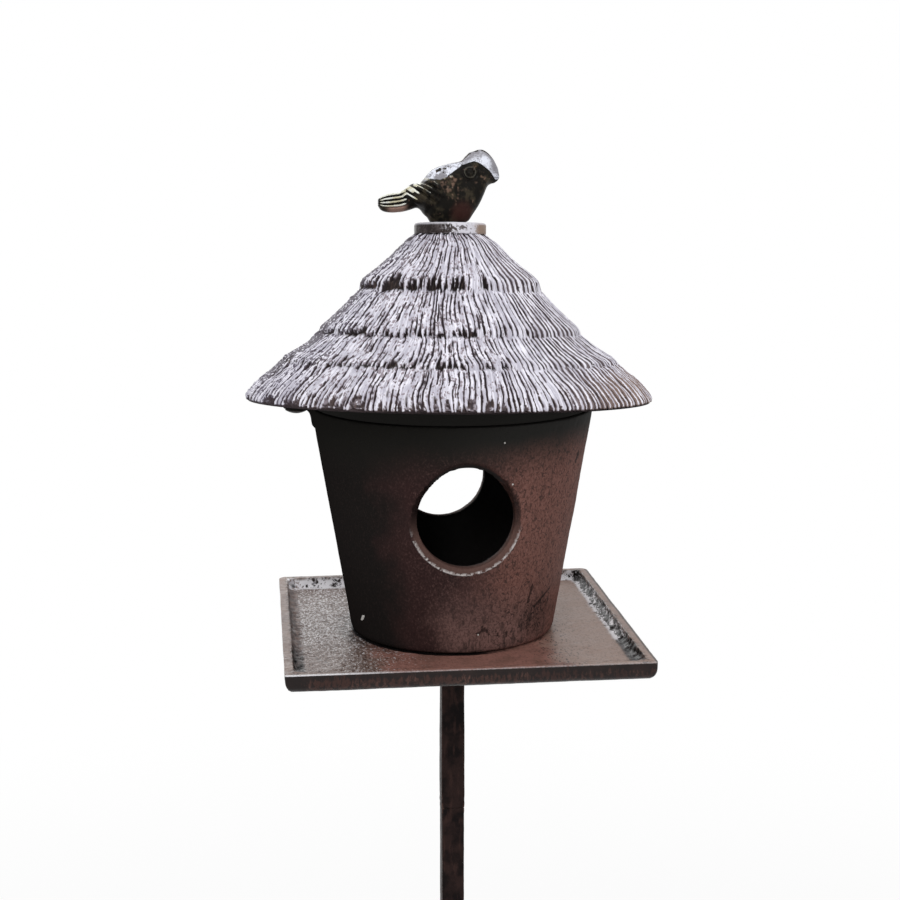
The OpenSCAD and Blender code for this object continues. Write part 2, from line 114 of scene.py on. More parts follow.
class Socket:
    """An output of a shader node that takes part in arithmetic."""

    def __init__(self, graph: Graph, link: Optional[bpy.types.NodeSocket]) -> None:
        """Keep the node output and the graph that new nodes go into."""
        self.graph = graph
        self.link = link

    def _math(self, operation: str, *values: Value, clamp: bool = False) -> Socket:
        """One Math node on the operands, in order."""
        settings = {"operation": operation, "use_clamp": clamp}
        return self.graph.node("ShaderNodeMath", settings, dict(enumerate(values)))

    def __add__(self, other: Value) -> Socket:
        """Sum."""
        return self._math("ADD", self, other)

    def __sub__(self, other: Value) -> Socket:
        """Difference."""
        return self._math("SUBTRACT", self, other)

    def __rsub__(self, other: Value) -> Socket:
        """Difference with a number first."""
        return self._math("SUBTRACT", other, self)

    def __mul__(self, other: Value) -> Socket:
        """Product."""
        return self._math("MULTIPLY", self, other)

    __radd__ = __add__
    __rmul__ = __mul__

    def __abs__(self) -> Socket:
        """Distance from zero."""
        return self._math("ABSOLUTE", self)

    def clamped(self) -> Socket:
        """The value held between 0 and 1."""
        return self._math("ADD", self, 0.0, clamp=True)

    def at_least(self, other: Value) -> Socket:
        """The larger of two values."""
        return self._math("MAXIMUM", self, other)

    def step(self, low: float, high: float) -> Socket:
        """A smooth step.

        Args:
            low: Value at which the result is 0.
            high: Value at which it is 1; it may be the smaller one.

        Returns:
            The stepped value.
        """
        if low > high:
            return 1.0 - self.step(high, low)
        settings = {"interpolation_type": "SMOOTHSTEP"}
        return self.graph.node("ShaderNodeMapRange", settings, {0: self, 1: low, 2: high})

    def band(self, low: float, full: float, until: float, high: float) -> Socket:
        """1 from full until the third value, with smooth steps from low and to high."""
        return self.step(low, full) * self.step(high, until)

    def axis(self, index: int) -> Socket:
        """One component of a position."""
        return self.graph.node("ShaderNodeSeparateXYZ", inputs={0: self}, output=index)

    def scaled(self, *factors: float) -> Socket:
        """A position with each component multiplied."""
        return self.graph.vector("MULTIPLY", self, factors)

    def away(self, centre: Sequence[float], *factors: float) -> Socket:
        """Distance of a position from a centre, with each component multiplied."""
        offset = self.graph.vector("SUBTRACT", self, centre)
        return self.graph.vector("LENGTH", offset.scaled(*factors), output=1)

    def noise(self, cell: float, detail: float = 3.0, rough: float = 0.55, output: str = "Fac") -> Socket:
        """Smooth random value round one half at a position, with coarsest patches of a cell's size."""
        inputs = {"Vector": self, "Scale": 1.0 / cell, "Detail": detail, "Roughness": rough}
        return self.graph.node("ShaderNodeTexNoise", inputs=inputs, output=output)

    def warped(self, cell: float, reach: float) -> Socket:
        """A position moved at random, by up to a reach, in patches of a cell's size."""
        offset = self.noise(cell, 2.0, 0.5, "Color")
        return self.graph.vector("MULTIPLY_ADD", offset, (2.0 * reach,) * 3, self)

    def cells(self, cell: float) -> Socket:
        """Distance of a position to the nearest of scattered points, in cells."""
        return self.graph.node("ShaderNodeTexVoronoi", inputs={"Vector": self, "Scale": 1.0 / cell})


Value = Union[Socket, float, Sequence[float]]
Tint = Union[Socket, Colour]


class Graph:
    """The node tree of one material or world."""

    def __init__(self, tree: bpy.types.NodeTree) -> None:
        """Start from an empty tree."""
        self.tree = tree
        self.tree.nodes.clear()

    def node(
        self,
        kind: str,
        settings: Optional[Dict[str, Any]] = None,
        inputs: Optional[Dict[Union[int, str], Value]] = None,
        output: Union[int, str] = 0,
    ) -> Socket:
        """Add one node.

        Args:
            kind: Blender's type of the node.
            settings: Its properties, which are set before the sockets.
            inputs: Values or links of the input sockets, by index or name.
            output: Index or name of the output that is wanted.

        Returns:
            That output.
        """
        made = self.tree.nodes.new(kind)
        for name, value in (settings or {}).items():
            setattr(made, name, value)
        for key, value in (inputs or {}).items():
            if isinstance(value, Socket):
                self.tree.links.new(value.link, made.inputs[key])
            else:
                made.inputs[key].default_value = value
        return Socket(self, made.outputs[output] if len(made.outputs) else None)

    def vector(self, operation: str, *values: Value, output: int = 0) -> Socket:
        """One Vector Math node on the operands, in order."""
        settings = {"operation": operation}
        return self.node("ShaderNodeVectorMath", settings, dict(enumerate(values)), output)

    def mix(self, share: Value, low: Tint, high: Tint) -> Socket:
        """Blend two colours.

        Args:
            share: Share of the second colour.
            low: The first colour.
            high: The second colour.

        Returns:
            The blended colour.
        """
        sides = {6: low, 7: high}
        inputs = {key: c if isinstance(c, Socket) else (*c, 1.0) for key, c in sides.items()}
        return self.node("ShaderNodeMix", {"data_type": "RGBA"}, {0: share, **inputs}, 2)

    def layered(self, base: Tint, *layers: Tuple[Value, Tint]) -> Tint:
        """Colour of layers laid one over another.

        Args:
            base: Colour under all layers.
            layers: Share that each layer covers, and its colour.

        Returns:
            The colour on top.
        """
        for share, colour in layers:
            base = self.mix(share, base, colour)
        return base

    def seen(self) -> Socket:
        """1 for rays from the camera, reflections and glass, else 0.

        Returns:
            The socket of that value.
        """
        kinds = ("Is Camera Ray", "Is Glossy Ray", "Is Transmission Ray")
        camera, glossy, clear = (self.node("ShaderNodeLightPath", output=kind) for kind in kinds)
        return (camera + glossy + clear).clamped()


class Skin(Graph):
    """The graph of a finish, from the position on the piece to one principled surface."""

    def __init__(self, name: str) -> None:
        """Make the material and find the position on the piece.

        Args:
            name: Name of the material.
        """
        self.made = bpy.data.materials.new(name)
        self.made.use_nodes = True
        super().__init__(self.made.node_tree)
        self.place = self.node("ShaderNodeTexCoord", output="Object").scaled(1.0 / MM, 1.0 / MM, 1.0 / MM)

    def __getitem__(self, name: str) -> Socket:
        """A value that the mesh carries at each point."""
        return self.node("ShaderNodeAttribute", {"attribute_name": name}, output="Fac")

    def finish(self, height: Socket, depth: float, inputs: Dict[str, Value]) -> bpy.types.Material:
        """End the graph with its surface.

        Args:
            height: Height of the fine relief, from 0 to 1.
            depth: What a height of 1 stands for.
            inputs: Values or links of the surface's other sockets.

        Returns:
            The material.
        """
        bump = self.node("ShaderNodeBump", inputs={"Distance": depth * MM, "Height": height})
        shader = self.node("ShaderNodeBsdfPrincipled", inputs={**inputs, "Normal": bump})
        self.node("ShaderNodeOutputMaterial", inputs={"Surface": shader})
        return self.made


def srgb(red: int, green: int, blue: int) -> Colour:
    """A colour as it is seen on a screen, from 0 to 255, in linear light."""
    shares = [level / 255.0 for level in (red, green, blue)]
    return tuple(s / 12.92 if s <= 0.04045 else ((s + 0.055) / 1.055) ** 2.4 for s in shares)


# ---------------- random fields and meshes


def smooth(value: Array, low: Union[float, Array], high: Union[float, Array]) -> Array:
    """Smooth step of an array from 0 at low to 1 at high."""
    share = np.clip((value - low) / (high - low), 0.0, 1.0)
    return share * share * (3.0 - 2.0 * share)


def band(value: Array, low: float, full: float, until: float, high: float) -> Array:
    """1 from full until the third value, with smooth steps from low and to high."""
    return smooth(value, low, full) * smooth(value, high, until)


def bell(away: Array, width: float) -> Array:
    """1 at a distance of 0, falling off like a bell of some width."""
    return np.exp(-((away / width) ** 2))


def blobs(spots: Spots, x: Array, z: Array, squeeze: float = 1.0) -> Sequence[Array]:
    """A bell over each of some spots, which are places and widths; a squeeze below 1 makes them tall."""
    return [bell(np.hypot(x - at[0], (z - at[1]) * squeeze), width) for at, width in spots]


@dataclass(frozen=True)
class Grain:
    """A smooth random field in space that is the same on every run."""

    seed: int  # which field it is
    cell: float  # size of its coarsest patches
    octaves: int = 3  # layers, each half the size and weaker by the fade
    fade: float = 1.8

    def _lattice(self, corner: Array) -> Array:
        """Random value from -1 to 1 at whole-numbered corners.

        Args:
            corner: Corners, with three whole numbers each.

        Returns:
            One value for each corner.
        """
        mixed = corner.astype(np.int64) @ np.array(HASH_AXES) + self.seed * HASH_SEED
        for shift in HASH_SHIFTS:
            mixed = mixed & HASH_MASK
            mixed = (mixed ^ (mixed >> shift)) * HASH_FACTOR
        return (mixed & HASH_MASK) / (HASH_MASK // 2) - 1.0

    def _layer(self, points: Array) -> Array:
        """One octave.

        Args:
            points: Positions, on cells that are 1 wide.

        Returns:
            One value for each point.
        """
        base = np.floor(points)
        share = smooth(points, base, base + 1.0)
        total = np.zeros(len(points))
        for corner in np.ndindex(2, 2, 2):
            weight = np.prod(np.where(corner, share, 1.0 - share), axis=1)
            total += weight * self._lattice(base + corner)
        return total

    def at(self, points: Array) -> Array:
        """Values from about -1 to 1.

        Args:
            points: Positions, whose last axis holds three coordinates.

        Returns:
            One value for each point, in the same arrangement.
        """
        flat = points.reshape(-1, 3)
        total = np.zeros(len(flat))
        for octave in range(self.octaves):
            total += self._layer(flat * (2**octave / self.cell) + OCTAVE_SHIFT * octave) / self.fade**octave
        return total.reshape(points.shape[:-1])


def placed(name: str, data: bpy.types.ID) -> bpy.types.Object:
    """Add an object to the scene.

    Args:
        name: Its name.
        data: Its mesh, or a lamp's or a camera's data.

    Returns:
        The object.
    """
    made = bpy.data.objects.new(name, data)
    bpy.context.scene.collection.objects.link(made)
    return made


def dress(mesh: bpy.types.Mesh, material: bpy.types.Material) -> None:
    """Give a mesh its finish."""
    mesh.materials.clear()
    mesh.materials.append(material)


@dataclass
class Piece:
    """One shown mesh of the feeder, on its way into the scene."""

    name: str
    body: Body
    slot: Slot
    replaced: Sequence[str] = ()  # nodes of the frame that it stands for

    def settle(self, mesh: bpy.types.Mesh, material: bpy.types.Material) -> None:
        """Put the mesh into the scene, dressed and riding on its body.

        Args:
            mesh: The finished mesh, in the feeder's own frame.
            material: Its material.
        """
        dress(mesh, material)
        mesh.polygons.foreach_set("use_smooth", [True] * len(mesh.polygons))
        made = placed(self.name, mesh)
        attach(made, self.body.value)
        if self.replaced:
            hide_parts(*self.replaced)
        LOG.info("%s: %d faces on %s", self.name, len(mesh.polygons), self.body.value)


def read_points(mesh: bpy.types.Mesh) -> Tuple[Array, Array]:
    """Positions and normals of a mesh's points.

    Args:
        mesh: The mesh.

    Returns:
        Two arrays, with three values in the row of each point.
    """
    points, normals = np.empty((2, len(mesh.vertices) * 3))
    mesh.vertices.foreach_get("co", points)
    mesh.vertex_normals.foreach_get("vector", normals)
    return points.reshape(-1, 3) / MM, normals.reshape(-1, 3)


def write_points(mesh: bpy.types.Mesh, points: Array) -> None:
    """Move a mesh's points."""
    mesh.vertices.foreach_set("co", points.reshape(-1) * MM)
    mesh.update()


def write_values(mesh: bpy.types.Mesh, values: Dict[str, Array]) -> None:
    """Store numbers or vectors at the points of a mesh.

    Args:
        mesh: The mesh.
        values: Values of all points by name.
    """
    for name, value in values.items():
        wide = value.size > len(mesh.vertices)
        layer = mesh.attributes.new(name, "FLOAT_VECTOR" if wide else "FLOAT", "POINT")
        layer.data.foreach_set("vector" if wide else "value", value.reshape(-1))


def grid_mesh(name: str, points: Array, values: Dict[str, Array], capped: bool = False) -> bpy.types.Mesh:
    """A closed mesh over a grid whose columns join up.

    Args:
        name: Name of the mesh.
        points: Rows by columns by three coordinates.
        values: Values of the points by name.
        capped: Whether the first and the last row end in caps; if not, they join up too.

    Returns:
        The mesh.
    """
    index = np.arange(points.shape[0] * points.shape[1]).reshape(points.shape[:2])
    down = np.roll(index, -1, axis=0)
    quads = np.stack([index, down, np.roll(down, -1, axis=1), np.roll(index, -1, axis=1)], axis=-1)
    caps = []
    if capped:
        quads = quads[:-1][..., [0, 3, 2, 1]]
        caps = [index[0][::-1], index[-1]]
    corners = np.concatenate([quads.reshape(-1), *caps])
    cap_starts = quads.size + np.arange(len(caps)) * points.shape[1]
    starts = np.concatenate([np.arange(0, quads.size, 4), cap_starts])
    mesh = bpy.data.meshes.new(name)
    mesh.vertices.add(index.size)
    write_points(mesh, points)
    mesh.loops.add(len(corners))
    mesh.loops.foreach_set("vertex_index", corners)
    mesh.polygons.add(len(starts))
    mesh.polygons.foreach_set("loop_start", starts)
    mesh.update(calc_edges=True)
    write_values(mesh, values)
    mesh.validate()
    return mesh


def remeshed(name: str, node: bpy.types.Object, voxel: float) -> bpy.types.Mesh:
    """A copy of a node's mesh with even small faces and slightly rounded edges.

    Args:
        name: Name of the copy.
        node: The node of the frame.
        voxel: Size of the new faces.

    Returns:
        The new mesh.
    """
    copy = placed(name, node.data.copy())
    remesh = copy.modifiers.new("voxels", "REMESH")
    remesh.mode = "VOXEL"
    remesh.voxel_size = voxel * MM
    depsgraph = bpy.context.evaluated_depsgraph_get()
    mesh = bpy.data.meshes.new_from_object(copy.evaluated_get(depsgraph))
    mesh.name = name
    bpy.data.objects.remove(copy)
    return mesh


def edge_bend(mesh: bpy.types.Mesh, points: Array, normals: Array, spacing: float) -> Array:
    """How sharply the surface bends: above 0 on edges, below 0 in corners.

    Args:
        mesh: The mesh.
        points: Its points.
        normals: Their normals.
        spacing: Usual distance between two points.

    Returns:
        One value for each point, about 0.3 on a square edge.
    """
    ends = np.empty(len(mesh.edges) * 2, np.int64)
    mesh.edges.foreach_get("vertices", ends)
    first, second = ends.reshape(-1, 2).T
    count = np.bincount(ends, minlength=len(points))

    def neighbours(values: Array) -> Array:
        """Mean of each point's neighbours."""
        total = np.bincount(first, values[second], len(points))
        return (total + np.bincount(second, values[first], len(points))) / np.maximum(count, 1)

    mean = np.stack([neighbours(points[:, axis]) for axis in range(3)], axis=1)
    bend = ((points - mean) * normals).sum(axis=1) / spacing
    return 0.5 * bend + 0.5 * neighbours(bend)


# ---------------- finishes


@dataclass(frozen=True)
class Iron:
    """Dark patinated iron: mottled, pitted, and worn bright along its edges."""

    name: str
    dark: Colour  # the patina's darkest patches
    mid: Colour  # its usual colour
    warm: Colour  # its rustier patches
    worn: Colour = srgb(176, 164, 160)  # worn edges
    deep: Colour = srgb(14, 11, 11)  # corners and crevices
    mottle: float = 14.0  # size of the patches
    grain: float = 1.4  # size of the pits
    pit: float = 0.25  # depth of the pits
    rough: float = 0.42
    shine: float = 0.1  # strength of reflections, where 0.5 is that of plain varnish
    wear: float = 0.8  # share of the edges that are worn

    def tint(self, skin: Skin) -> Tint:
        """Colour of the patina before wear and dirt.

        Args:
            skin: Graph of the finish.

        Returns:
            The colour.
        """
        patch = skin.place.noise(self.mottle, 4.0)
        run = skin.place.scaled(1.0, 1.0, 0.22).noise(self.mottle / 3)
        layers = (patch.step(0.36, 0.62), self.mid), (run.step(0.5, 0.7) * 0.6, self.warm)
        return skin.layered(self.dark, *layers)

    def relief(self, skin: Skin) -> Socket:
        """Height of the fine relief, from about 0 to 1."""
        return skin.place.noise(self.grain, 4.0, 0.6)

    def polish(self, skin: Skin) -> Value:
        """Share of the surface that is polished."""
        return 0.0

    def material(self) -> bpy.types.Material:
        """The finished material.

        Returns:
            The material.
        """
        skin = Skin(self.name)
        relief, edge = self.relief(skin), skin["bend"]
        patch = skin.place.noise(0.7 * self.mottle, 2.0) - 0.5
        scratch = skin.place.noise(2.2, 3.0, 0.7) - 0.5
        crevice = (edge + 0.06 * scratch).step(-0.05, -0.14)
        worn = (edge + 0.16 * scratch).step(0.1, 0.2) * self.wear
        inputs = {
            "Base Color": skin.layered(self.tint(skin), (crevice, self.deep), (worn, self.worn)),
            "Roughness": (self.rough + 0.35 * (relief - 0.5) + 0.25 * patch).clamped(),
            "Specular IOR Level": self.shine,
            "Coat Weight": self.polish(skin),
            "Coat Roughness": self.rough,
        }
        return skin.finish(relief, self.pit, inputs)


@dataclass(frozen=True)
class HouseIron(Iron):
    """Iron of the house: black on its left and red-brown on its right, partly as painted shade and light,
    with a painted shadow under the eave, a painted highlight near the foot and painted shade in the
    entrances' upper bore and inside.
    """

    shade: Colour = srgb(34, 33, 31)  # painted shadow: the dark band under the eave
    pale: Colour = srgb(118, 90, 85)  # painted highlight towards the foot, in the middle and on the right; also the lighter flecks of the leathery skin
    lip: Colour = srgb(94, 72, 66)  # the bevelled lip round the entrances
    silver: Colour = srgb(206, 200, 198)  # crumbs on the lip's outer edge
    # painted shade: the colour of the inside of the house
    inside: Colour = srgb(42, 39, 38)
    eave: float = 1038.0  # height at which the painted shadow under the eave is full
    fade: float = 30.0  # height over which the band fades out
    foot: Point2 = (46.0, 10.0)  # heights over the tray where the painted highlight at the foot starts and is full
    rim: float = 30.3  # radius of the lip's outer edge

    def polish(self, skin: Skin) -> Value:
        """Share of the surface that is polished: none on the left."""
        return skin["side"].step(-0.4, 0.4) * 0.15

    def relief(self, skin: Skin) -> Socket:
        """Height of the fine relief, with short curled marks and scratches."""
        marks = self.worms(skin.place) * skin["side"].step(-0.3, 0.3)
        return super().relief(skin) * 0.5 - marks * 0.5 - skin["mark"] * 0.6

    def worms(self, place: Socket) -> Socket:
        """Short curled marks: lines where a noise crosses one half, broken up by another."""
        curl = place.scaled(1.0, 1.0, 0.7).warped(5.0, 1.2).noise(2.1, 0.0)
        return abs(curl - 0.5).step(0.07, 0.02) * place.noise(2.8, 1.0).step(0.42, 0.54)

    def crumbs(self, place: Socket, grit: Socket) -> Socket:
        """Silver crumbs along the lower outer edge of the entrances' lip.

        Args:
            place: Position on the house.
            grit: Fine random value.

        Returns:
            Share of silver.
        """
        lump = place.warped(3.0, 1.0).noise(2.2, 2.0)
        ring = place.away((0.0, 0.0, HOLE), 1.0, 0.0, 1.0) + 1.6 * (lump - 0.5) - self.rim
        low = place.axis(2).step(HOLE - 3.0, HOLE - 15.0)
        spared = place.axis(0).band(-2.0, 5.0, 9.0, 15.0)
        share = (lump + 0.5 * (grit - 0.5) - 0.1 * spared).step(0.36, 0.5)
        return ring.band(-1.1, -0.3, 0.4, 1.2) * low * share

    def tint(self, skin: Skin) -> Tint:
        """Colour of the patina before wear and dirt, with painted shade, shadow and highlight.

        Args:
            skin: Graph of the finish.

        Returns:
            The colour.
        """
        place, side, lip = skin.place, skin["side"], skin["lip"]
        height = place.axis(2)
        patch = place.noise(self.mottle, 4.0)
        grit = place.noise(0.9, 3.0, 0.7)
        run = place.scaled(1.0, 1.0, 0.2).noise(2.6)
        leather = place.warped(3.0, 1.0).scaled(1.0, 1.0, 0.7).noise(1.1, 2.0, 0.7)
        share = side + 0.55 * (patch - 0.5)
        shown = share.step(-0.7, -0.1)
        # painted highlight: low is the pale foot, lighter towards the tray in the middle and on the right
        low = (height - FLOOR).step(*self.foot) * share.step(-0.4, 0.0)
        streak = run.step(0.52, 0.66) * share.step(-0.6, 0.0) * (0.35 + 0.5 * low)
        crust = self.worms(place.scaled(1.25, 1.25, 1.0)).at_least(grit.step(0.5, 0.62) * 0.6)
        # painted shadow under the eave: a band with an uneven lower edge that reaches lower on the left
        painted_shade = height + 12.0 * (patch - 0.5) - 5.0 * side
        # painted shade: the lip's bevel turns from its own colour to dark towards its top, where the bore
        # faces down
        bevel = skin.mix(height.step(HOLE + 6.0, HOLE - 16.0), self.deep, self.lip)
        mark = (skin["mark"] + 1.3 * (grit - 0.5)).step(0.35, 0.7)
        return skin.layered(
            self.dark,
            # the left darker and the right red-brown: partly the iron's own colour, partly painted shade on
            # the left and painted light on the right
            (share.step(-0.72, -0.42), self.mid),
            (share.step(-0.15, 0.5), self.warm),
            (low * share.step(0.95, 0.5) * 0.85, self.pale),
            (leather.step(0.54, 0.42) * (0.12 + 0.24 * shown), self.deep),
            (leather.step(0.56, 0.68) * (0.05 + 0.3 * shown), self.pale),
            (streak * 0.6, self.dark),
            (self.worms(place) * side.step(-0.1, 0.35) * 0.62, self.dark),
            ((skin["scaly"] * (0.3 + crust)).clamped() * 0.75, self.deep),
            (painted_shade.step(self.eave - self.fade, self.eave), self.shade),
            ((lip * (0.8 + 0.9 * (grit - 0.5))).clamped(), bevel),
            (self.crumbs(place, grit) * (1.0 - 0.8 * lip), self.silver),
            (mark * 0.75, self.deep),
            # painted shade: the inside of the house is painted dark
            (skin["inside"], self.inside),
        )


@dataclass(frozen=True)
class TrayIron(Iron):
    """Iron of the tray: hammered and silvery on the left, red-brown in front, taupe on the right, with
    painted highlights and painted shadow round the house's foot.
    """

    silver: Colour = srgb(226, 224, 228)  # dry-brushed high spots, also the painted highlights
    taupe: Colour = srgb(147, 122, 110)  # the floor on the left and the right
    red: Colour = srgb(146, 104, 94)  # the floor in front
    rim: Colour = srgb(128, 108, 101)  # the rim's top
    face: Colour = srgb(56, 35, 30)  # the outer faces
    cove: Colour = srgb(40, 33, 32)  # the hollow along the rim
    grey: Colour = srgb(116, 115, 117)  # the hollow where the silver is thin

    def polish(self, skin: Skin) -> Value:
        """Share of the surface that is polished: none in the hollow."""
        return (1.0 - skin["cove"]) * 0.25

    def relief(self, skin: Skin) -> Socket:
        """Height of the fine relief: hammered dimples on the floor."""
        dimples = 1.0 - skin.place.warped(6.0, 2.0).cells(2.6)
        return super().relief(skin) * 0.4 + dimples * (0.25 + 0.6 * skin.place.axis(0).step(-20.0, -60.0))

    def _floor(self, skin: Skin, wobble: Socket, grit: Socket) -> Tint:
        """Colour of the floor, with painted highlights, a painted contact shadow and painted shadow beside
        the house's foot.

        Args:
            skin: Graph of the finish.
            wobble: Position across the tray with an uneven edge.
            grit: Fine random value.

        Returns:
            The colour.
        """
        along = skin.place.axis(1)
        left, right = wobble.step(-40.0, -58.0), wobble.step(44.0, 56.0)
        flat = skin.place.warped(4.0, 1.5).scaled(1.0, 0.36, 1.0)
        fine = flat.noise(1.15, 2.0, 0.7)
        # the silver flecks on the left are dry-brushed silver and also painted highlights of the glossy
        # hammered floor
        flecked = wobble.step(30.0, -70.0) * (0.75 + 0.25 * along.step(-90.0, 0.0))
        calm = along.step(-10.0, -80.0) * wobble.step(-55.0, -75.0)
        shine = (fine + 0.2 * (flecked - 0.9)).step(0.52, 0.62) * flecked.step(0.25, 0.8)
        border = wobble.band(34.0, 46.0, 50.0, 78.0)
        pitted = flat.cells(1.5).step(0.4, 0.22) * (border * 0.9 + 0.4) * grit.step(0.4, 0.48)
        reach = skin.place.away((0.0, 0.0, 0.0), 1.0, 1.0, 0.0) - HOUSE_FOOT
        # painted shadow: speckled dark floor within a few millimetres of the house's foot, on the left
        darkening = reach.step(13.0, 3.0) * wobble.step(-30.0, -46.0) * grit.step(0.44, 0.56)
        # painted highlight: glint, a bright line near the back rim on the left
        glint = (along + 2.0 * (grit - 0.5) - TRAY_HALF).band(-14.5, -12.5, -10.5, -9.0)
        # painted contact shadow: a dark ring on the floor round the house's foot, wider in front and left
        # out on the right
        contact_shadow = (reach - 1.4 * along.step(-15.0, -50.0)).step(0.7, 0.2)
        return skin.layered(
            self.warm,
            (skin.place.noise(self.mottle, 4.0).step(0.3, 0.6), self.red),
            (left.at_least(right), self.taupe),
            (left * 0.5, self.dark),
            (fine.step(0.52, 0.36) * (0.25 + 0.5 * left), self.dark),
            (shine * (0.68 - 0.45 * calm), self.silver),
            (pitted * 0.8, self.dark),
            (darkening.clamped() * 0.85, self.deep),
            (glint * left.at_least(wobble.step(20.0, -20.0)) * 0.8, self.silver),
            (contact_shadow * wobble.step(30.0, 10.0), self.deep),
        )

    def _hollow(self, skin: Skin, grit: Socket) -> Tint:
        """Colour of the hollow: crumbled silver, but bare on the left and in front.

        Args:
            skin: Graph of the finish.
            grit: Fine random value.

        Returns:
            The colour.
        """
        across, along = skin.place.axis(0), skin.place.axis(1)
        crumb = skin.place.warped(4.0, 2.5).scaled(1.0, 0.5, 1.0).noise(3.3, 4.0, 0.75)
        dash = skin.place.warped(5.0, 2.0).scaled(1.0, 0.4, 1.0).noise(2.6, 2.0)
        rough = crumb + 0.3 * (grit - 0.5)
        inner = (across + 3.0 * (grit - 0.5)).step(TRAY_HALF - 8.6, TRAY_HALF - 9.6)
        left = across.step(-84.0, -88.0)
        front = (along + 20.0 * (crumb - 0.5)).step(-38.0, -46.0)
        bare = (left * along.step(86.0, 82.0) + front).clamped()
        return skin.layered(
            self.cove,
            (left, self.rim),
            (left * crumb.step(0.46, 0.54) * 0.6, self.cove),
            (front * crumb.step(0.62, 0.45), self.deep),
            (rough.step(0.46, 0.51) * (1.0 - bare), self.grey),
            ((rough + 0.1 * inner).step(0.53, 0.57) * (1.0 - 0.92 * bare), self.silver),
            (dash.step(0.5, 0.55) * (1.0 - inner) * (0.95 - 0.4 * bare), self.deep),
        )

    def tint(self, skin: Skin) -> Tint:
        """Colour of the patina before wear and dirt, with painted highlights and shadows.

        Args:
            skin: Graph of the finish.

        Returns:
            The colour.
        """
        place = skin.place
        across, along, height = (place.axis(index) for index in range(3))
        drop = height - TRAY_TOP
        patch = place.noise(self.mottle, 4.0)
        grit = place.noise(1.5, 3.0, 0.7)
        crumb = place.warped(3.0, 1.5).noise(2.4, 3.0, 0.65)
        run = place.scaled(1.0, 1.0, 0.25).noise(2.0, 4.0, 0.75)
        floor = self._floor(skin, across + 26.0 * (patch - 0.5) + 20.0 * (grit - 0.5), grit)
        inner = abs(across).step(TRAY_HALF - 3.0, TRAY_HALF - 5.0)
        rim = skin.layered(
            self.rim,
            (patch.step(0.3, 0.7), self.taupe),
            (crumb.step(0.5, 0.66) * 0.55, self.mid),
            (inner * (crumb + 0.4 * (grit - 0.5)).step(0.5, 0.56) * 0.8, self.deep),
            (across.step(0.0, -60.0) * 0.28, self.dark),
            (across.step(TRAY_HALF - 1.8, TRAY_HALF - 0.9) * 0.75, self.deep),
            (along.step(-88.0, -93.0) * abs(across).step(92.0, 88.0), floor),
        )
        # darker streaks, and darker along the faces' top, at the left end, towards the bottom and on the
        # right
        darkening = run + 0.14 * drop.step(-5.0, -1.5) + 0.22 * across.step(-84.0, -98.0) + 0.4 * (patch - 0.5)
        face_darkening = darkening.step(0.45, 0.58) + drop.step(-8.5, -10.5) + 0.4 * across.step(0.0, 60.0)
        face = skin.layered(
            self.face, (patch.step(0.45, 0.7) * 0.4, self.warm), (face_darkening.clamped() * 0.85, self.deep)
        )
        # worn silver and painted highlight: a line along the front top edge, strongest on the left
        line = (along + TRAY_HALF).step(1.7, 0.8) * drop.step(-0.75, -0.35)
        brushed = 0.2 + 0.7 * across.step(-30.0, -80.0) + 0.8 * (grit - 0.5)
        return skin.layered(
            floor,
            (skin["cove"], self._hollow(skin, grit)),
            (skin["rim"], rim),
            (skin["face"], face),
            (line * brushed.clamped(), self.silver),
        )


@dataclass(frozen=True)
class CollarIron(Iron):
    """Iron of the collar: dark on its left, silver swirls in the middle, taupe on its right."""

    silver: Colour = srgb(214, 212, 220)  # the dry-brushed middle and top edge

    def tint(self, skin: Skin) -> Tint:
        """Colour of the patina before wear and dirt.

        Args:
            skin: Graph of the finish.

        Returns:
            The colour.
        """
        swirl = skin.place.warped(5.0, 5.0).noise(2.6)
        share = skin["side"] + 0.5 * (swirl - 0.5)
        silver = (swirl + 0.25 * share).step(0.44, 0.56) * share.step(-0.36, -0.05)
        edge = skin["rim"] * (0.75 + 0.6 * (swirl - 0.5)).clamped()
        return skin.layered(
            self.dark,
            (swirl.step(0.45, 0.6) * 0.6, self.mid),
            (share.step(-0.3, 0.0), self.mid),
            (silver, self.silver),
            (share.step(0.55, 0.72), self.warm),
            (edge, self.silver),
        )


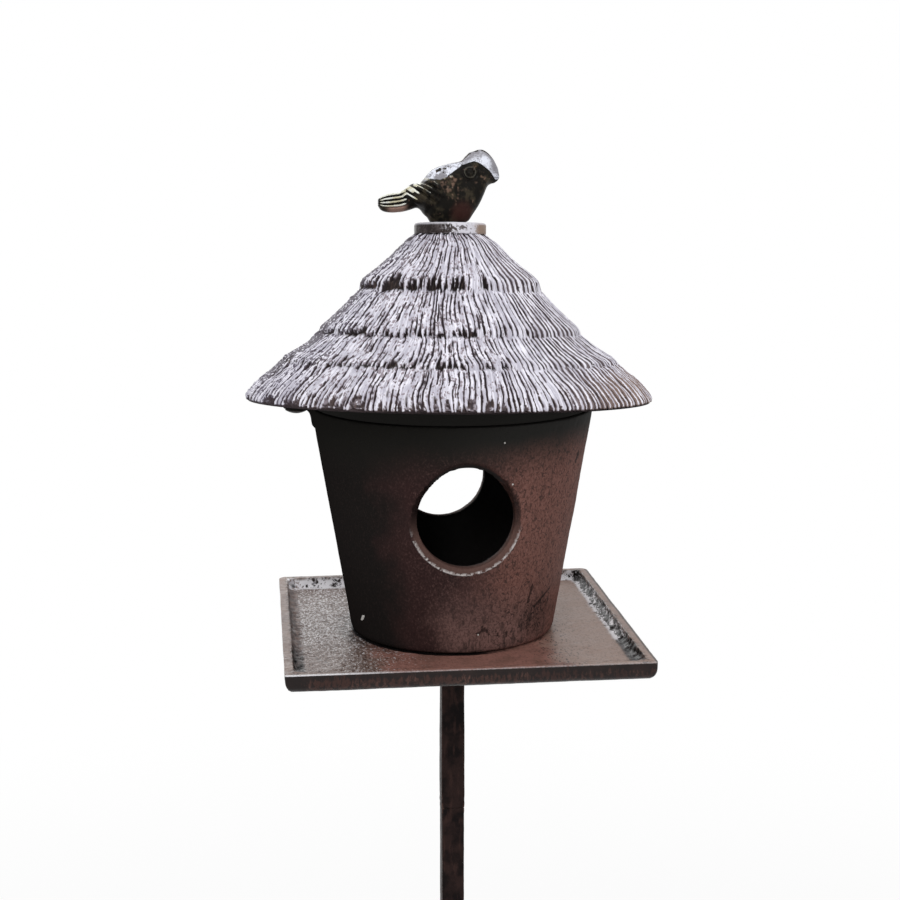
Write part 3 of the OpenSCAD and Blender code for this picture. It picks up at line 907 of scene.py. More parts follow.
@dataclass(frozen=True)
class BirdPaint:
    """Dark cast bird, dry-brushed silver on its cap and back and cream on its feathers."""

    name: str = "bird_silver_on_iron"
    dark: Colour = srgb(21, 19, 16)  # the bare casting
    olive: Colour = srgb(58, 52, 41)  # its lighter patches
    silver: Colour = srgb(226, 229, 240)  # the cap and the back
    thin_and_shaded: Colour = srgb(138, 136, 142)  # the silver where it is thin, and painted shade on the cap away from its near flank
    cream: Colour = srgb(196, 190, 162)  # the feathers' ridges
    pale: Colour = srgb(228, 230, 222)  # the ridges where they are brushed most
    flesh: Colour = srgb(150, 122, 110)  # under the tail
    rust: Colour = srgb(56, 31, 28)  # the reddish breast
    smear: Colour = srgb(124, 100, 86)  # brown smears on the cheek and the shoulder
    ring: Colour = srgb(92, 90, 82)  # the ring round the eye
    painted_shade: Colour = srgb(16, 14, 14)  # painted shade in the tail's grooves and the head's hollows

    def material(self) -> bpy.types.Material:
        """The finished material.

        Returns:
            The material.
        """
        skin = Skin(self.name)
        patch = skin.place.noise(6.0, 4.0)
        grit = skin.place.noise(0.9, 3.0, 0.7)
        uneven = 0.5 * (grit - 0.5)
        silver = (skin["silver"] + uneven + 0.5 * (patch - 0.5)).step(0.36, 0.6)
        flecks = (patch + 0.8 * (grit - 0.5)).step(0.6, 0.42) * (1.0 - 0.85 * skin["thin_and_shaded"])
        specks = skin.place.cells(1.1).step(0.2, 0.1) * patch.step(0.5, 0.56)
        ridges = skin.mix(patch.step(0.4, 0.62), self.pale, self.cream)
        colour = skin.layered(
            self.dark,
            (patch.step(0.46, 0.64) * 0.9, self.olive),
            (skin["smear"] * 0.75, self.smear),
            ((skin["rust"] + 0.7 * (patch - 0.5)).step(0.25, 0.9) * 0.85, self.rust),
            # grey where the silver is thin and where shade is painted on the cap
            (silver, skin.mix(flecks, self.thin_and_shaded, self.silver)),
            (silver * specks * 0.8, self.dark),
            ((skin["cream"] + uneven).step(0.35, 0.65), ridges),
            (skin["under"], self.flesh),
            (skin["ring"] * 0.6, self.ring),
            # painted shade in the tail's grooves and the head's hollows
            (skin["painted_shade"].clamped(), self.painted_shade),
        )
        rough = (0.26 + 0.2 * grit + 0.15 * silver).clamped()
        inputs = {"Base Color": colour, "Roughness": rough, "Specular IOR Level": 0.06}
        return skin.finish(grit * 0.6 + patch * 0.5, 0.16, inputs)


@dataclass(frozen=True)
class ThatchPaint:
    """Silver dry-brushed over dark iron, so that only the crowns of the strands take it, with painted shade
    in the pockets and under each course's lip.
    """

    name: str = "thatch_silver_on_iron"
    light: Colour = srgb(240, 238, 248)  # the silver
    grey: Colour = srgb(186, 183, 196)  # the silver where it is thin
    shade: Colour = srgb(150, 140, 148)  # between silver and iron
    groove: Colour = srgb(56, 47, 52)
    painted_shade: Colour = srgb(32, 25, 25)  # painted shade deep in the pockets, in the slots and under the course above
    bare: Colour = srgb(132, 112, 104)  # where the brush hardly touched, on the right
    olive_edge: Colour = srgb(120, 120, 104)  # olive tint along the far left flank
    drab: Colour = srgb(104, 94, 98)  # between the lines of silver on the right
    dim: Colour = srgb(104, 98, 110)  # between the lines of silver on the left
    ash: Colour = srgb(104, 86, 80)  # lighter streaks in the pockets
    eave: float = 1048.6  # height of the eave

    def material(self) -> bpy.types.Material:
        """The finished material.

        Returns:
            The material.
        """
        skin = Skin(self.name)
        flow = skin.node("ShaderNodeAttribute", {"attribute_name": "flow"}, output="Vector")
        side, paint = skin["side"], skin["paint"]
        height = skin.place.axis(2) - self.eave
        streak = flow.scaled(1.0, 0.1, 1.0).noise(1.1)
        fleck = flow.scaled(1.0, 0.4, 1.0).noise(0.7, 2.0)
        patch = skin.place.noise(14.0)
        low = height.step(26.0, 12.0)
        left = side.step(-0.7, -0.88)
        flank = side.step(-0.95, -0.985) * height.step(8.0, 22.0)
        pits = flow.scaled(1.0, 0.6, 1.0).cells(1.8) - 0.7 * (patch - 0.45)
        pitted = pits.step(0.38, 0.26) * side.step(0.55, -0.1) * (1.0 - 0.6 * low)
        beads = flow.scaled(0.42, 0.8, 1.0).cells(1.15).step(0.34, 0.54) * flank
        lined = side.step(0.34, 0.62) + left * 0.7
        ridge = (skin["ridge"] * 0.95 - 0.22 * low) * lined * paint.step(0.2, 0.8)
        rough = (streak - 0.5) * 0.8 + (fleck - 0.5) * 1.1 + (patch - 0.5) * 0.5
        cover = paint * 0.92 * (1.0 - lined) + ridge + rough * (1.0 - 0.45 * lined)
        cover = cover - pitted * 0.75 - beads * 0.9
        silver = skin.mix((streak + 0.5 * (patch - 0.5)).step(0.35, 0.7), self.grey, self.light)
        between = skin.layered(self.shade, (lined, self.drab), (left, self.dim))
        ashes = (streak.step(0.5, 0.75) * 0.7 + 0.4 * low * fleck).clamped()
        colour = skin.layered(
            self.groove,
            (paint.step(0.0, 0.6), between),
            (low * streak.step(0.45, 0.6) * (1.0 - left) * 0.4, self.ash),
            (side.step(0.42, 0.8) * low * paint.step(0.0, 0.5), self.bare),
            (cover.step(0.44, 0.54), silver),
            (flank * 0.12, self.olive_edge),
            # painted shade in the pockets and under each course's lip, with lighter streaks
            (skin["painted_shade"], skin.mix(ashes, self.painted_shade, self.ash)),
        )
        rough = 0.62 - 0.14 * cover.clamped()
        inputs = {"Base Color": colour, "Roughness": rough, "Specular IOR Level": 0.2}
        return skin.finish(streak * 0.6 + fleck * 0.5, 0.25, inputs)


# ---------------- roof


@dataclass(frozen=True)
class RoofFrame:
    """The roof's own frame, which leans on the level mouth of the house."""

    mouth_height: float
    lift: float = 4.1  # height of the eave's plane above the mouth
    shift: float = 1.8  # how far the roof sits to the left
    lean: float = math.radians(5.0)  # how far it leans back
    tilt: float = math.radians(1.0)  # how far it leans to the right
    height: float = 92.0  # height of the thatch, up to the collar

    def matrix(self) -> Matrix:
        """From the roof's frame to the feeder's."""
        turn = Matrix.Rotation(-self.lean, 4, "X") @ Matrix.Rotation(self.tilt, 4, "Y")
        return Matrix.Translation((-self.shift, 0.0, self.mouth_height + self.lift)) @ turn

    def place(self, points: Array) -> Array:
        """Points of the roof's frame, moved to the feeder's."""
        matrix = np.array(self.matrix())
        return points @ matrix[:3, :3].T + matrix[:3, 3]

    def within(self, points: Array) -> Array:
        """Points of the feeder's frame, in the roof's own."""
        matrix = np.array(self.matrix().inverted())
        return points @ matrix[:3, :3].T + matrix[:3, 3]


def rounded_line(corners: Sequence[Point2], rounds: int = 3) -> Array:
    """A line with its corners cut again and again until it is a smooth curve.

    Args:
        corners: Corners of the line, in order.
        rounds: How often every corner is cut.

    Returns:
        Points of the curve, one row of two each.
    """
    line = np.array(corners, float)
    for _ in range(rounds):
        inner = np.stack([0.75 * line[:-1] + 0.25 * line[1:], 0.25 * line[:-1] + 0.75 * line[1:]], axis=1)
        line = np.vstack([line[:1], inner.reshape(-1, 2), line[-1:]])
    return line


def around(angle: Array, radius: Array, height: Array) -> Array:
    """Points at angles round the upright axis, at radii and heights."""
    return np.stack(np.broadcast_arrays(radius * np.cos(angle), radius * np.sin(angle), height), axis=-1)


@dataclass(frozen=True)
class Course:
    """One course of thatch, in the roof's own frame."""

    outline: Sequence[Point2]  # radius and height of the crowns, from under the course above to the end
    inside: Sequence[Point2]  # radius and height of the shell's inner face, from the end back to the start
    crest: float  # distance before the end at which the course turns down over the next
    strands: int
    rows: int  # rows of faces along the strands
    pockets: float  # share of the gaps that open into pockets
    pocket_depth: float
    left_pockets: float = 0.0  # share of the gaps on the left that open as well
    pocket_half: Point2 = (0.8, 1.5)  # least and largest half width of a pocket
    gap_width: float = 1.0  # width of the gaps between strands, as a share of the usual one
    painted_shade: float = 1.0  # how dark the painted shade in the pockets is


@dataclass(frozen=True)
class Lay:
    """Where the strands of one course lie."""

    profile: Array  # radius and height of the crowns, row by row
    normal: Array  # outward direction at each row, as radius and height
    distance: Array  # distance from the course's start, row by row
    left: Array  # angle of each strand's left edge, rows by strands
    right: Array  # angle of its right edge

    @property
    def from_end(self) -> Array:
        """Distance to the course's end, as a column."""
        return (self.distance[-1] - self.distance)[:, None]

    @property
    def side(self) -> Array:
        """From -1 for strands on the far left to 1 on the far right."""
        return np.cos(self.left[-1])

    @property
    def calm(self) -> Array:
        """How even the strands are: not on the left, and most on the right."""
        return smooth(self.side, -0.15, 0.45)


class Gaps(NamedTuple):
    """How the gaps before the strands of one course are cut, and the strands themselves."""

    depth: Array  # depth of the grooves
    reach: Array  # half their width
    slot: Array  # how far they widen into slots
    pocket: Array  # share of a pocket's depth
    half: Array  # half the pockets' width
    drop: Array  # share of a pocket's depth over the whole strand
    split: Array  # depth of the thin groove that splits the strand
    rise: Array  # height of the strand over the others


@dataclass
class Thatch:
    """The thatched shell: courses of strands that flow over one another's ends."""

    frame: RoofFrame
    courses: Sequence[Course]  # from the collar down
    groove_reach: Point2 = (0.45, 0.72)  # narrowest and widest half of a groove
    groove_depth: Point2 = (0.9, 1.7)  # shallowest and deepest groove
    split_depth: float = 0.6  # depth of the thin grooves that split some strands
    split_half: float = 0.42  # half the width of those
    slots: float = 0.34  # share of the grooves that widen into a slot
    slot_from_end: Point2 = (3.0, 11.0)  # nearest and farthest slot before a course's end
    slot_half: Point2 = (2.5, 4.5)  # least and largest half length of a slot
    pocket_start: Point2 = (-3.2, 2.2)  # nearest and farthest start of a pocket, before the crest
    pocket_close: Point2 = (0.0, 2.2)  # nearest and farthest end of a pocket before a course's end
    short: float = 0.16  # share of the strands between two pockets that end in them
    rise: Point2 = (-0.28, 0.24)  # height of the lowest and the highest strand over the others
    start_rise: Point2 = (-1.0, 0.9)  # the same at a course's start
    stray: float = 0.3  # how far a strand strays from even spacing, in strands
    gap_stray: float = 0.13  # how far a gap strays from the middle between two strands
    broad: Sequence[Sequence[float]] = (  # where strands are broader: turn, spread in degrees, and gain
        (-12.0, 36.0, 1.1),
        (-178.0, 34.0, 0.8),
    )
    across: Sequence[float] = (0.0, 0.1, 0.21, 0.33, 0.44, 0.56, 0.67, 0.79, 0.9)  # points on a strand
    sway: Grain = Grain(5, 26.0, 2)  # bends neighbouring strands together
    wiggle: Grain = Grain(9, 7.0, 2)  # bends each strand alone
    knots: Grain = Grain(12, 1.7, 2)  # small knots on the strands
    merge: Grain = Grain(31, 9.0, 2)  # closes grooves here and there
    own_place: Point2 = (51.7, 13.0)  # steps between strands and between courses in their own fields
    flow_step: Point2 = (11.3, 7.1)  # steps between strands in the finish's fields

    def _tops(self, index: int) -> Array:
        """Angles of the strands where a course starts.

        Args:
            index: Which course it is.

        Returns:
            One angle for each strand, in order round the roof.
        """
        strands = self.courses[index].strands
        draw = np.random.default_rng(index + 1)
        turn = np.linspace(0.0, math.tau, 721)
        width = np.ones_like(turn)
        for at, spread, gain in self.broad:
            apart = (turn - math.radians(at) + math.pi) % math.tau - math.pi
            width += gain * bell(apart, math.radians(spread))
        total = np.concatenate([[0.0], np.cumsum(0.5 / width[:-1] + 0.5 / width[1:])])
        even = np.arange(strands) + 0.5 + draw.uniform(-self.stray, self.stray, strands)
        return np.interp(even * total[-1] / strands, total, turn)

    def _ends(self, index: int, tops: Array) -> Array:
        """Angles of the strands at a course's end, drawn to the nearest strands below.

        Args:
            index: Which course it is.
            tops: Angles at its start.

        Returns:
            One angle for each strand.
        """
        if index + 1 == len(self.courses):
            return tops
        lower = self._tops(index + 1)
        wrapped = np.concatenate([lower - math.tau, lower, lower + math.tau])
        nearest = np.abs(tops[:, None] - wrapped[None, :]).argmin(axis=1)
        return 0.6 * wrapped[nearest] + 0.4 * tops

    def _own(self, field: Grain, shape: Tuple[int, int], distance: Array, stretch: float) -> Array:
        """A field that changes along each strand and differs from strand to strand.

        Args:
            field: The random field.
            shape: Rows by strands.
            distance: Distance from the course's start, row by row.
            stretch: How much slower the field changes along the strands.

        Returns:
            One value for each row and strand.
        """
        strand, course = np.arange(shape[1]) * self.own_place[0], np.array(shape[0] * self.own_place[1])
        places = np.broadcast_arrays(distance[:, None] / stretch, strand, course)
        return field.at(np.stack(places, axis=-1))

    def _lay(self, index: int, draw: np.random.Generator) -> Lay:
        """Lay the strands of a course.

        Args:
            index: Which course it is.
            draw: Source of its random draws.

        Returns:
            Where the strands lie.
        """
        curve = rounded_line(self.courses[index].outline)
        along = np.concatenate([[0.0], np.cumsum(np.linalg.norm(np.diff(curve, axis=0), axis=1))])
        share = np.linspace(0.0, 1.0, self.courses[index].rows)
        distance = along[-1] * (share * 0.75 + 0.25 * (1.0 - (1.0 - share) ** 2))
        profile = np.stack([np.interp(distance, along, values) for values in curve.T], axis=1)
        slope = np.gradient(profile, distance, axis=0)
        slope /= np.linalg.norm(slope, axis=1, keepdims=True)
        normal = np.stack([-slope[:, 1], slope[:, 0]], axis=1)

        tops, radius = self._tops(index), profile[:, :1]
        gathered = smooth(distance / distance[-1], 0.25, 1.0)[:, None]
        centre = tops + (self._ends(index, tops) - tops) * gathered
        swayed = self.sway.at(around(centre, radius, profile[:, 1:])) * 1.8
        own = self._own(self.wiggle, centre.shape, distance, 1.0) * 0.45
        centre = centre + (swayed * smooth(distance, 0.0, 6.0)[:, None] + own) / radius

        before = np.roll(centre, 1, axis=1)
        before[:, 0] -= math.tau
        share = 0.5 + draw.uniform(-self.gap_stray, self.gap_stray, len(tops))
        left = before * (1.0 - share) + centre * share
        right = np.roll(left, -1, axis=1)
        right[:, -1] += math.tau
        return Lay(profile, normal, distance, left, right)

    def _pockets(self, index: int, lay: Lay, draw: np.random.Generator) -> Tuple[Array, Array, Array]:
        """The pockets that open between strands near a course's end; the lowest stay open below.

        Args:
            index: Which course it is.
            lay: Where its strands lie.
            draw: Source of its random draws.

        Returns:
            Share of the pocket's depth at each gap, half the pockets' width, and share of the depth
            over each strand, rows by strands.
        """
        course, last = self.courses[index], index + 1 == len(self.courses)
        count, side, from_end = course.strands, lay.side, lay.from_end
        likely = course.pockets + course.left_pockets * smooth(side, 0.0, -0.4)
        likely = likely * (1.0 - (1.0 if last else 0.86) * smooth(side, -0.05, 0.5))
        opened = draw.random(count) < likely
        short = opened & (draw.random(count) < self.short) & np.roll(opened, -1)
        reach = course.crest + draw.uniform(*self.pocket_start, count)
        close = np.full(count, -1.0) if last else draw.uniform(*self.pocket_close, count)
        pocket = smooth(from_end, reach + 1.2, reach) * smooth(from_end, close, close + 1.0)
        half = draw.uniform(*course.pocket_half, count) * (1.0 + 0.8 * smooth(side, -0.3, -0.9))
        half = half * (0.65 + 0.75 * smooth(from_end, reach, 0.25 * reach))
        return pocket * opened, half, pocket * short

    def _gaps(self, index: int, lay: Lay, draw: np.random.Generator) -> Gaps:
        """Draw the gaps of a course.

        Args:
            index: Which course it is.
            lay: Where its strands lie.
            draw: Source of its random draws.

        Returns:
            The gaps, each measure rows by strands.
        """
        course, last = self.courses[index], index + 1 == len(self.courses)
        shape, count, calm = lay.left.shape, course.strands, lay.calm
        depth = draw.uniform(*self.groove_depth, count)
        broken = self._own(self.merge, shape, lay.distance, 2.5 if last else 1.1)
        depth = depth * smooth(broken + 0.55 * calm - 0.2, -0.55, 0.0)
        reach = course.gap_width * draw.uniform(*self.groove_reach, count)
        reach = reach * (1.0 + (0.4 * smooth(lay.from_end, 8.0, 5.0) + 1.2) * np.abs(lay.side) ** 3)
        from_slot = np.abs(lay.from_end - draw.uniform(*self.slot_from_end, count))
        slotted = draw.random(count) < self.slots
        slot = slotted * smooth(from_slot, draw.uniform(*self.slot_half, count), 1.2)
        split = smooth(self._own(self.merge, shape, lay.distance + 300.0, 2.2), 0.15, 0.6)
        pockets = self._pockets(index, lay, draw)
        rise = draw.uniform(*self.rise, count)
        rise = rise + self._own(self.wiggle, shape, lay.distance + 700.0, 1.3) * 0.25
        uneven = draw.uniform(*self.start_rise, count) * (1.0 - 0.7 * calm)
        rise = rise + uneven * smooth(lay.distance, 9.0, 4.5)[:, None]
        widened = (1.0 + 0.5 * slot, 1.0 + 0.75 * slot)
        return Gaps(depth * widened[0], reach * widened[1], slot, *pockets, split * self.split_depth, rise)

    def _cut(
        self, index: int, lay: Lay, gaps: Gaps, pitch: Array, spots: Array
    ) -> Tuple[Array, Array, Array, Array]:
        """Cut the gaps between the strands of a course.

        Args:
            index: Which course it is.
            lay: Where its strands lie.
            gaps: The gaps.
            pitch: Width of the strands, row by row.
            spots: Points of the uncut course.

        Returns:
            Height of the cuts, which is below 0, height of the crowns between them, share of the
            pockets' depth, and painted shade in the slots.
        """
        across = np.array(self.across)
        gap = np.minimum(across, 1.0 - across) * pitch

        def at_gap(values: Array) -> Array:
            """Values of the nearer of a strand's two gaps, at each point across it."""
            values = np.broadcast_to(values, lay.left.shape)
            return np.where(across < 0.5, values[..., None], np.roll(values, -1, axis=1)[..., None])

        width = np.minimum(at_gap(gaps.reach), 0.3 * pitch)
        jagged = 1.0 + 0.4 * self.knots.at(spots * 0.8) * (1.0 - 0.5 * lay.calm)[:, None]
        groove = at_gap(gaps.depth) * np.clip(1.0 - gap / (width * jagged), 0.0, 1.0) ** 0.75
        from_split = np.abs(across - 0.5) * pitch / self.split_half
        groove = np.maximum(groove, gaps.split[..., None] * np.clip(1.0 - from_split, 0.0, 1.0))
        hollow = at_gap(gaps.pocket) * smooth(gap, at_gap(gaps.half), at_gap(gaps.half) * 0.5)
        hollow = np.maximum(hollow, gaps.drop[..., None])
        cut = -np.maximum(groove, hollow * self.courses[index].pocket_depth)
        crown = gaps.rise[..., None] * smooth(gap, 0.0, width) - 0.12 * smooth(gap, 0.5 * pitch, 0.0)
        return cut, crown, hollow, 0.8 * at_gap(gaps.slot) * smooth(gap, width, 0.4 * width)

    def _masks(
        self, index: int, lay: Lay, cut: Array, hollow: Array, slots: Array, knots: Array
    ) -> Dict[str, Array]:
        """Where a course takes silver, and where shade is painted in its pockets and slots and under the
        course above.

        Args:
            index: Which course it is.
            lay: Where its strands lie.
            cut: Height of the cuts, which is below 0.
            hollow: Share of the pockets' depth.
            slots: Soot in the slots.
            knots: Knots on the strands.

        Returns:
            Paint, painted shade and ridge at each point, by name.
        """
        lively = (1.0 - 0.6 * lay.calm)[:, None]
        paint = smooth(cut + 0.4 * knots * lively, -0.62, -0.1)
        # painted shade in the pockets and the slots
        painted_shade = np.maximum(hollow * self.courses[index].painted_shade, slots)
        if index + 1 == len(self.courses):
            ragged = 0.55 * smooth(hollow, 0.2, 0.8) * smooth(knots, -0.3, 0.7)
            paint = np.maximum(paint, ragged) * smooth(lay.from_end, 0.3, 0.9)[..., None]
        if index > 0:
            # painted shade at a course's start, under the lip of the course above
            painted_shade = np.maximum(painted_shade, smooth(lay.distance, 4.6, 2.6)[:, None, None] * lively)
        leftward = smooth(lay.side, 0.0, -0.6)[:, None]
        from_ridge = np.abs(np.array(self.across) - (0.38 + 0.24 * leftward))
        ridge = smooth(from_ridge, 0.27 + 0.13 * leftward, 0.1 + 0.14 * leftward)
        return {"paint": paint, "painted_shade": painted_shade, "ridge": ridge}

    def build(self, index: int) -> bpy.types.Mesh:
        """The closed mesh of one course, with its paint, painted shade, ridge, side and flow.

        Args:
            index: Which course it is.

        Returns:
            The mesh.
        """
        draw = np.random.default_rng(index + 101)
        lay = self._lay(index, draw)
        gaps = self._gaps(index, lay, draw)
        across = np.array(self.across)
        angle = lay.left[..., None] + (lay.right - lay.left)[..., None] * across
        radius, height = (values[:, None, None] for values in lay.profile.T)
        pitch = ((lay.right - lay.left) * lay.profile[:, :1])[..., None]
        spots = around(angle, radius, height)
        knots = self.knots.at(spots)
        cut, crown, hollow, slots = self._cut(index, lay, gaps, pitch, spots)
        rough = 0.14 + 0.2 * (1.0 - lay.calm) + 0.1 * smooth(lay.side, -0.84, -0.98)
        raised = cut + crown + knots * rough[:, None]
        normal_r, normal_h = (values[:, None, None] for values in lay.normal.T)
        face = (angle, radius + normal_r * raised, height + normal_h * raised)
        sideways, deeper = (np.arange(lay.left.shape[1])[:, None] * step for step in self.flow_step)
        flow = ((across - 0.5) * pitch + sideways, lay.distance[:, None, None], deeper)
        return self._closed(index, face, self._masks(index, lay, cut, hollow, slots, knots), flow)

    def _closed(
        self, index: int, face: Sequence[Array], masks: Dict[str, Array], flow: Sequence[Array]
    ) -> bpy.types.Mesh:
        """Close a course's outer face with the shell's inner face.

        Args:
            index: Which course it is.
            face: Angle, radius and height of the outer face's points.
            masks: Their masks by name.
            flow: Their three coordinates along and across the strands.

        Returns:
            The closed mesh.
        """
        angle, radius, height = face
        inside = np.array(self.courses[index].inside)
        columns = angle[0].size
        even = angle[-1, 0, 0] + np.linspace(0.0, math.tau, columns, endpoint=False)

        def closed(outer: Array, inner: Union[float, Array] = 0.0) -> Array:
            """Rows of the outer face, then those of the inner face."""
            outer = np.broadcast_to(outer, angle.shape).reshape(-1, columns)
            return np.vstack([outer, np.broadcast_to(inner, (len(inside), columns))])

        turned = closed(angle, even)
        points = around(turned, closed(radius, inside[:, :1]), closed(height, inside[:, 1:]))
        values = {name: closed(mask) for name, mask in masks.items()}
        values["side"] = np.cos(turned)
        values["flow"] = np.stack([closed(part) for part in flow], axis=-1)
        return grid_mesh(f"thatch_course_{index + 1}", self.frame.place(points), values)

    def make(self, material: bpy.types.Material) -> None:
        """Build every course and settle it on the roof.

        Args:
            material: Its finish.
        """
        for index in range(len(self.courses)):
            mesh = self.build(index)
            Piece(mesh.name, Body.ROOF, Slot.THATCH, ["thatch_roof"]).settle(mesh, material)


COURSES = (
    Course(
        outline=(
            (20, 92), (26.7, 87.4), (36.8, 76.9), (47, 69.1), (50.6, 66.2), (52.2, 60.7), (52.8, 57.3),
        ),
        inside=((45.5, 59.4), (37, 67.1), (27, 76), (18, 83.9), (9, 83.9), (9, 92)),
        crest=11.8, strands=84, rows=52, pockets=0.9, pocket_depth=3.2, pocket_half=(0.9, 1.7),
        gap_width=0.8,
    ),
    Course(
        outline=(
            (47.6, 62), (50.4, 61), (53.4, 58.9), (59.5, 52.5),
            (66.3, 46), (72.6, 40.3), (74.4, 37.8), (75, 33.3),
        ),
        inside=((72, 31.1), (63, 40.7), (54, 50.3), (45.5, 59.4)),
        crest=6.5, strands=132, rows=44, pockets=0.66, pocket_depth=2.7, left_pockets=0.3,
    ),
    Course(
        outline=(
            (70.6, 37.2), (73, 36.6), (75.6, 35.2), (80.4, 31.2), (85.6, 27.4),
            (90.6, 24.6), (94.4, 22.4), (95.9, 20.2), (96.4, 18.2),
        ),
        inside=((95, 11.2), (87, 18.1), (79.5, 24.6), (72, 31.1)),
        crest=6.5, strands=168, rows=36, pockets=0.5, pocket_depth=2.5, left_pockets=0.28,
    ),
    Course(
        outline=(
            (92, 21), (94.4, 20.6), (97.4, 18.9), (101.8, 14.6), (107, 10.9),
            (111, 7.2), (115.2, 2.2), (116.2, 0.2), (115.7, -1.1),
        ),
        inside=((114.6, -1.9), (110, -1.9), (102.5, 4.6), (95, 11.2)),
        crest=7.5, strands=200, rows=42, pockets=0.72, pocket_depth=1.6, painted_shade=0.12,
    ),
)


# ---------------- bird


@dataclass(frozen=True)
class Feather:
    """One feather of the folded wing, seen from the side."""

    tip: Point2  # distance forward and height
    front: Point2
    half: float  # half its width
    rise: float  # height of its ridge over the body
    bright: float  # share of its length, from the tip, that is brushed all over
    line: float  # share of its length along which its upper edge is brushed

    def lay(self, x: Array, z: Array) -> Tuple[Array, Array]:
        """The feather's height and its brushed places.

        Args:
            x: Distance forward.
            z: Height.

        Returns:
            The added height, and 1 where it is brushed.
        """
        step = np.subtract(self.front, self.tip)
        length = float(np.hypot(*step))
        ahead, up = step / length
        along = (x - self.tip[0]) * ahead + (z - self.tip[1]) * up
        across = ((z - self.tip[1]) * ahead - (x - self.tip[0]) * up) / self.half
        from_spine = np.hypot((along - np.clip(along, self.half, length)) / self.half, across)
        height = self.rise * np.clip(1.0 - from_spine**2, 0.0, 1.0) ** 0.5
        share = along / length
        tip = smooth(share, self.bright, 0.6 * self.bright) * smooth(across, -0.7, -0.2)
        edge = bell(across - 0.45, 0.32) * smooth(share, self.line, 0.7 * self.line)
        return height, np.maximum(tip, edge) * smooth(from_spine, 1.0, 0.85)


class Ring(NamedTuple):
    """Values at the points of the bird's rings, on which its colours depend."""

    x: Array  # distance forward
    z: Array  # height
    sine: Array  # from -1 at the bottom of a ring to 1 at its top
    cosine: Array  # from -1 on the bird's one side to 1 on the other
    light: Array  # 1 where the feathers are brushed
    head: Array  # height of the relief of the head
    eye: Array  # 1 on the ring round the eye
    silver: Array  # share of dry-brushed silver
    pitted: Array  # 1 in the pits
    ragged: Array  # random field of the ragged edges


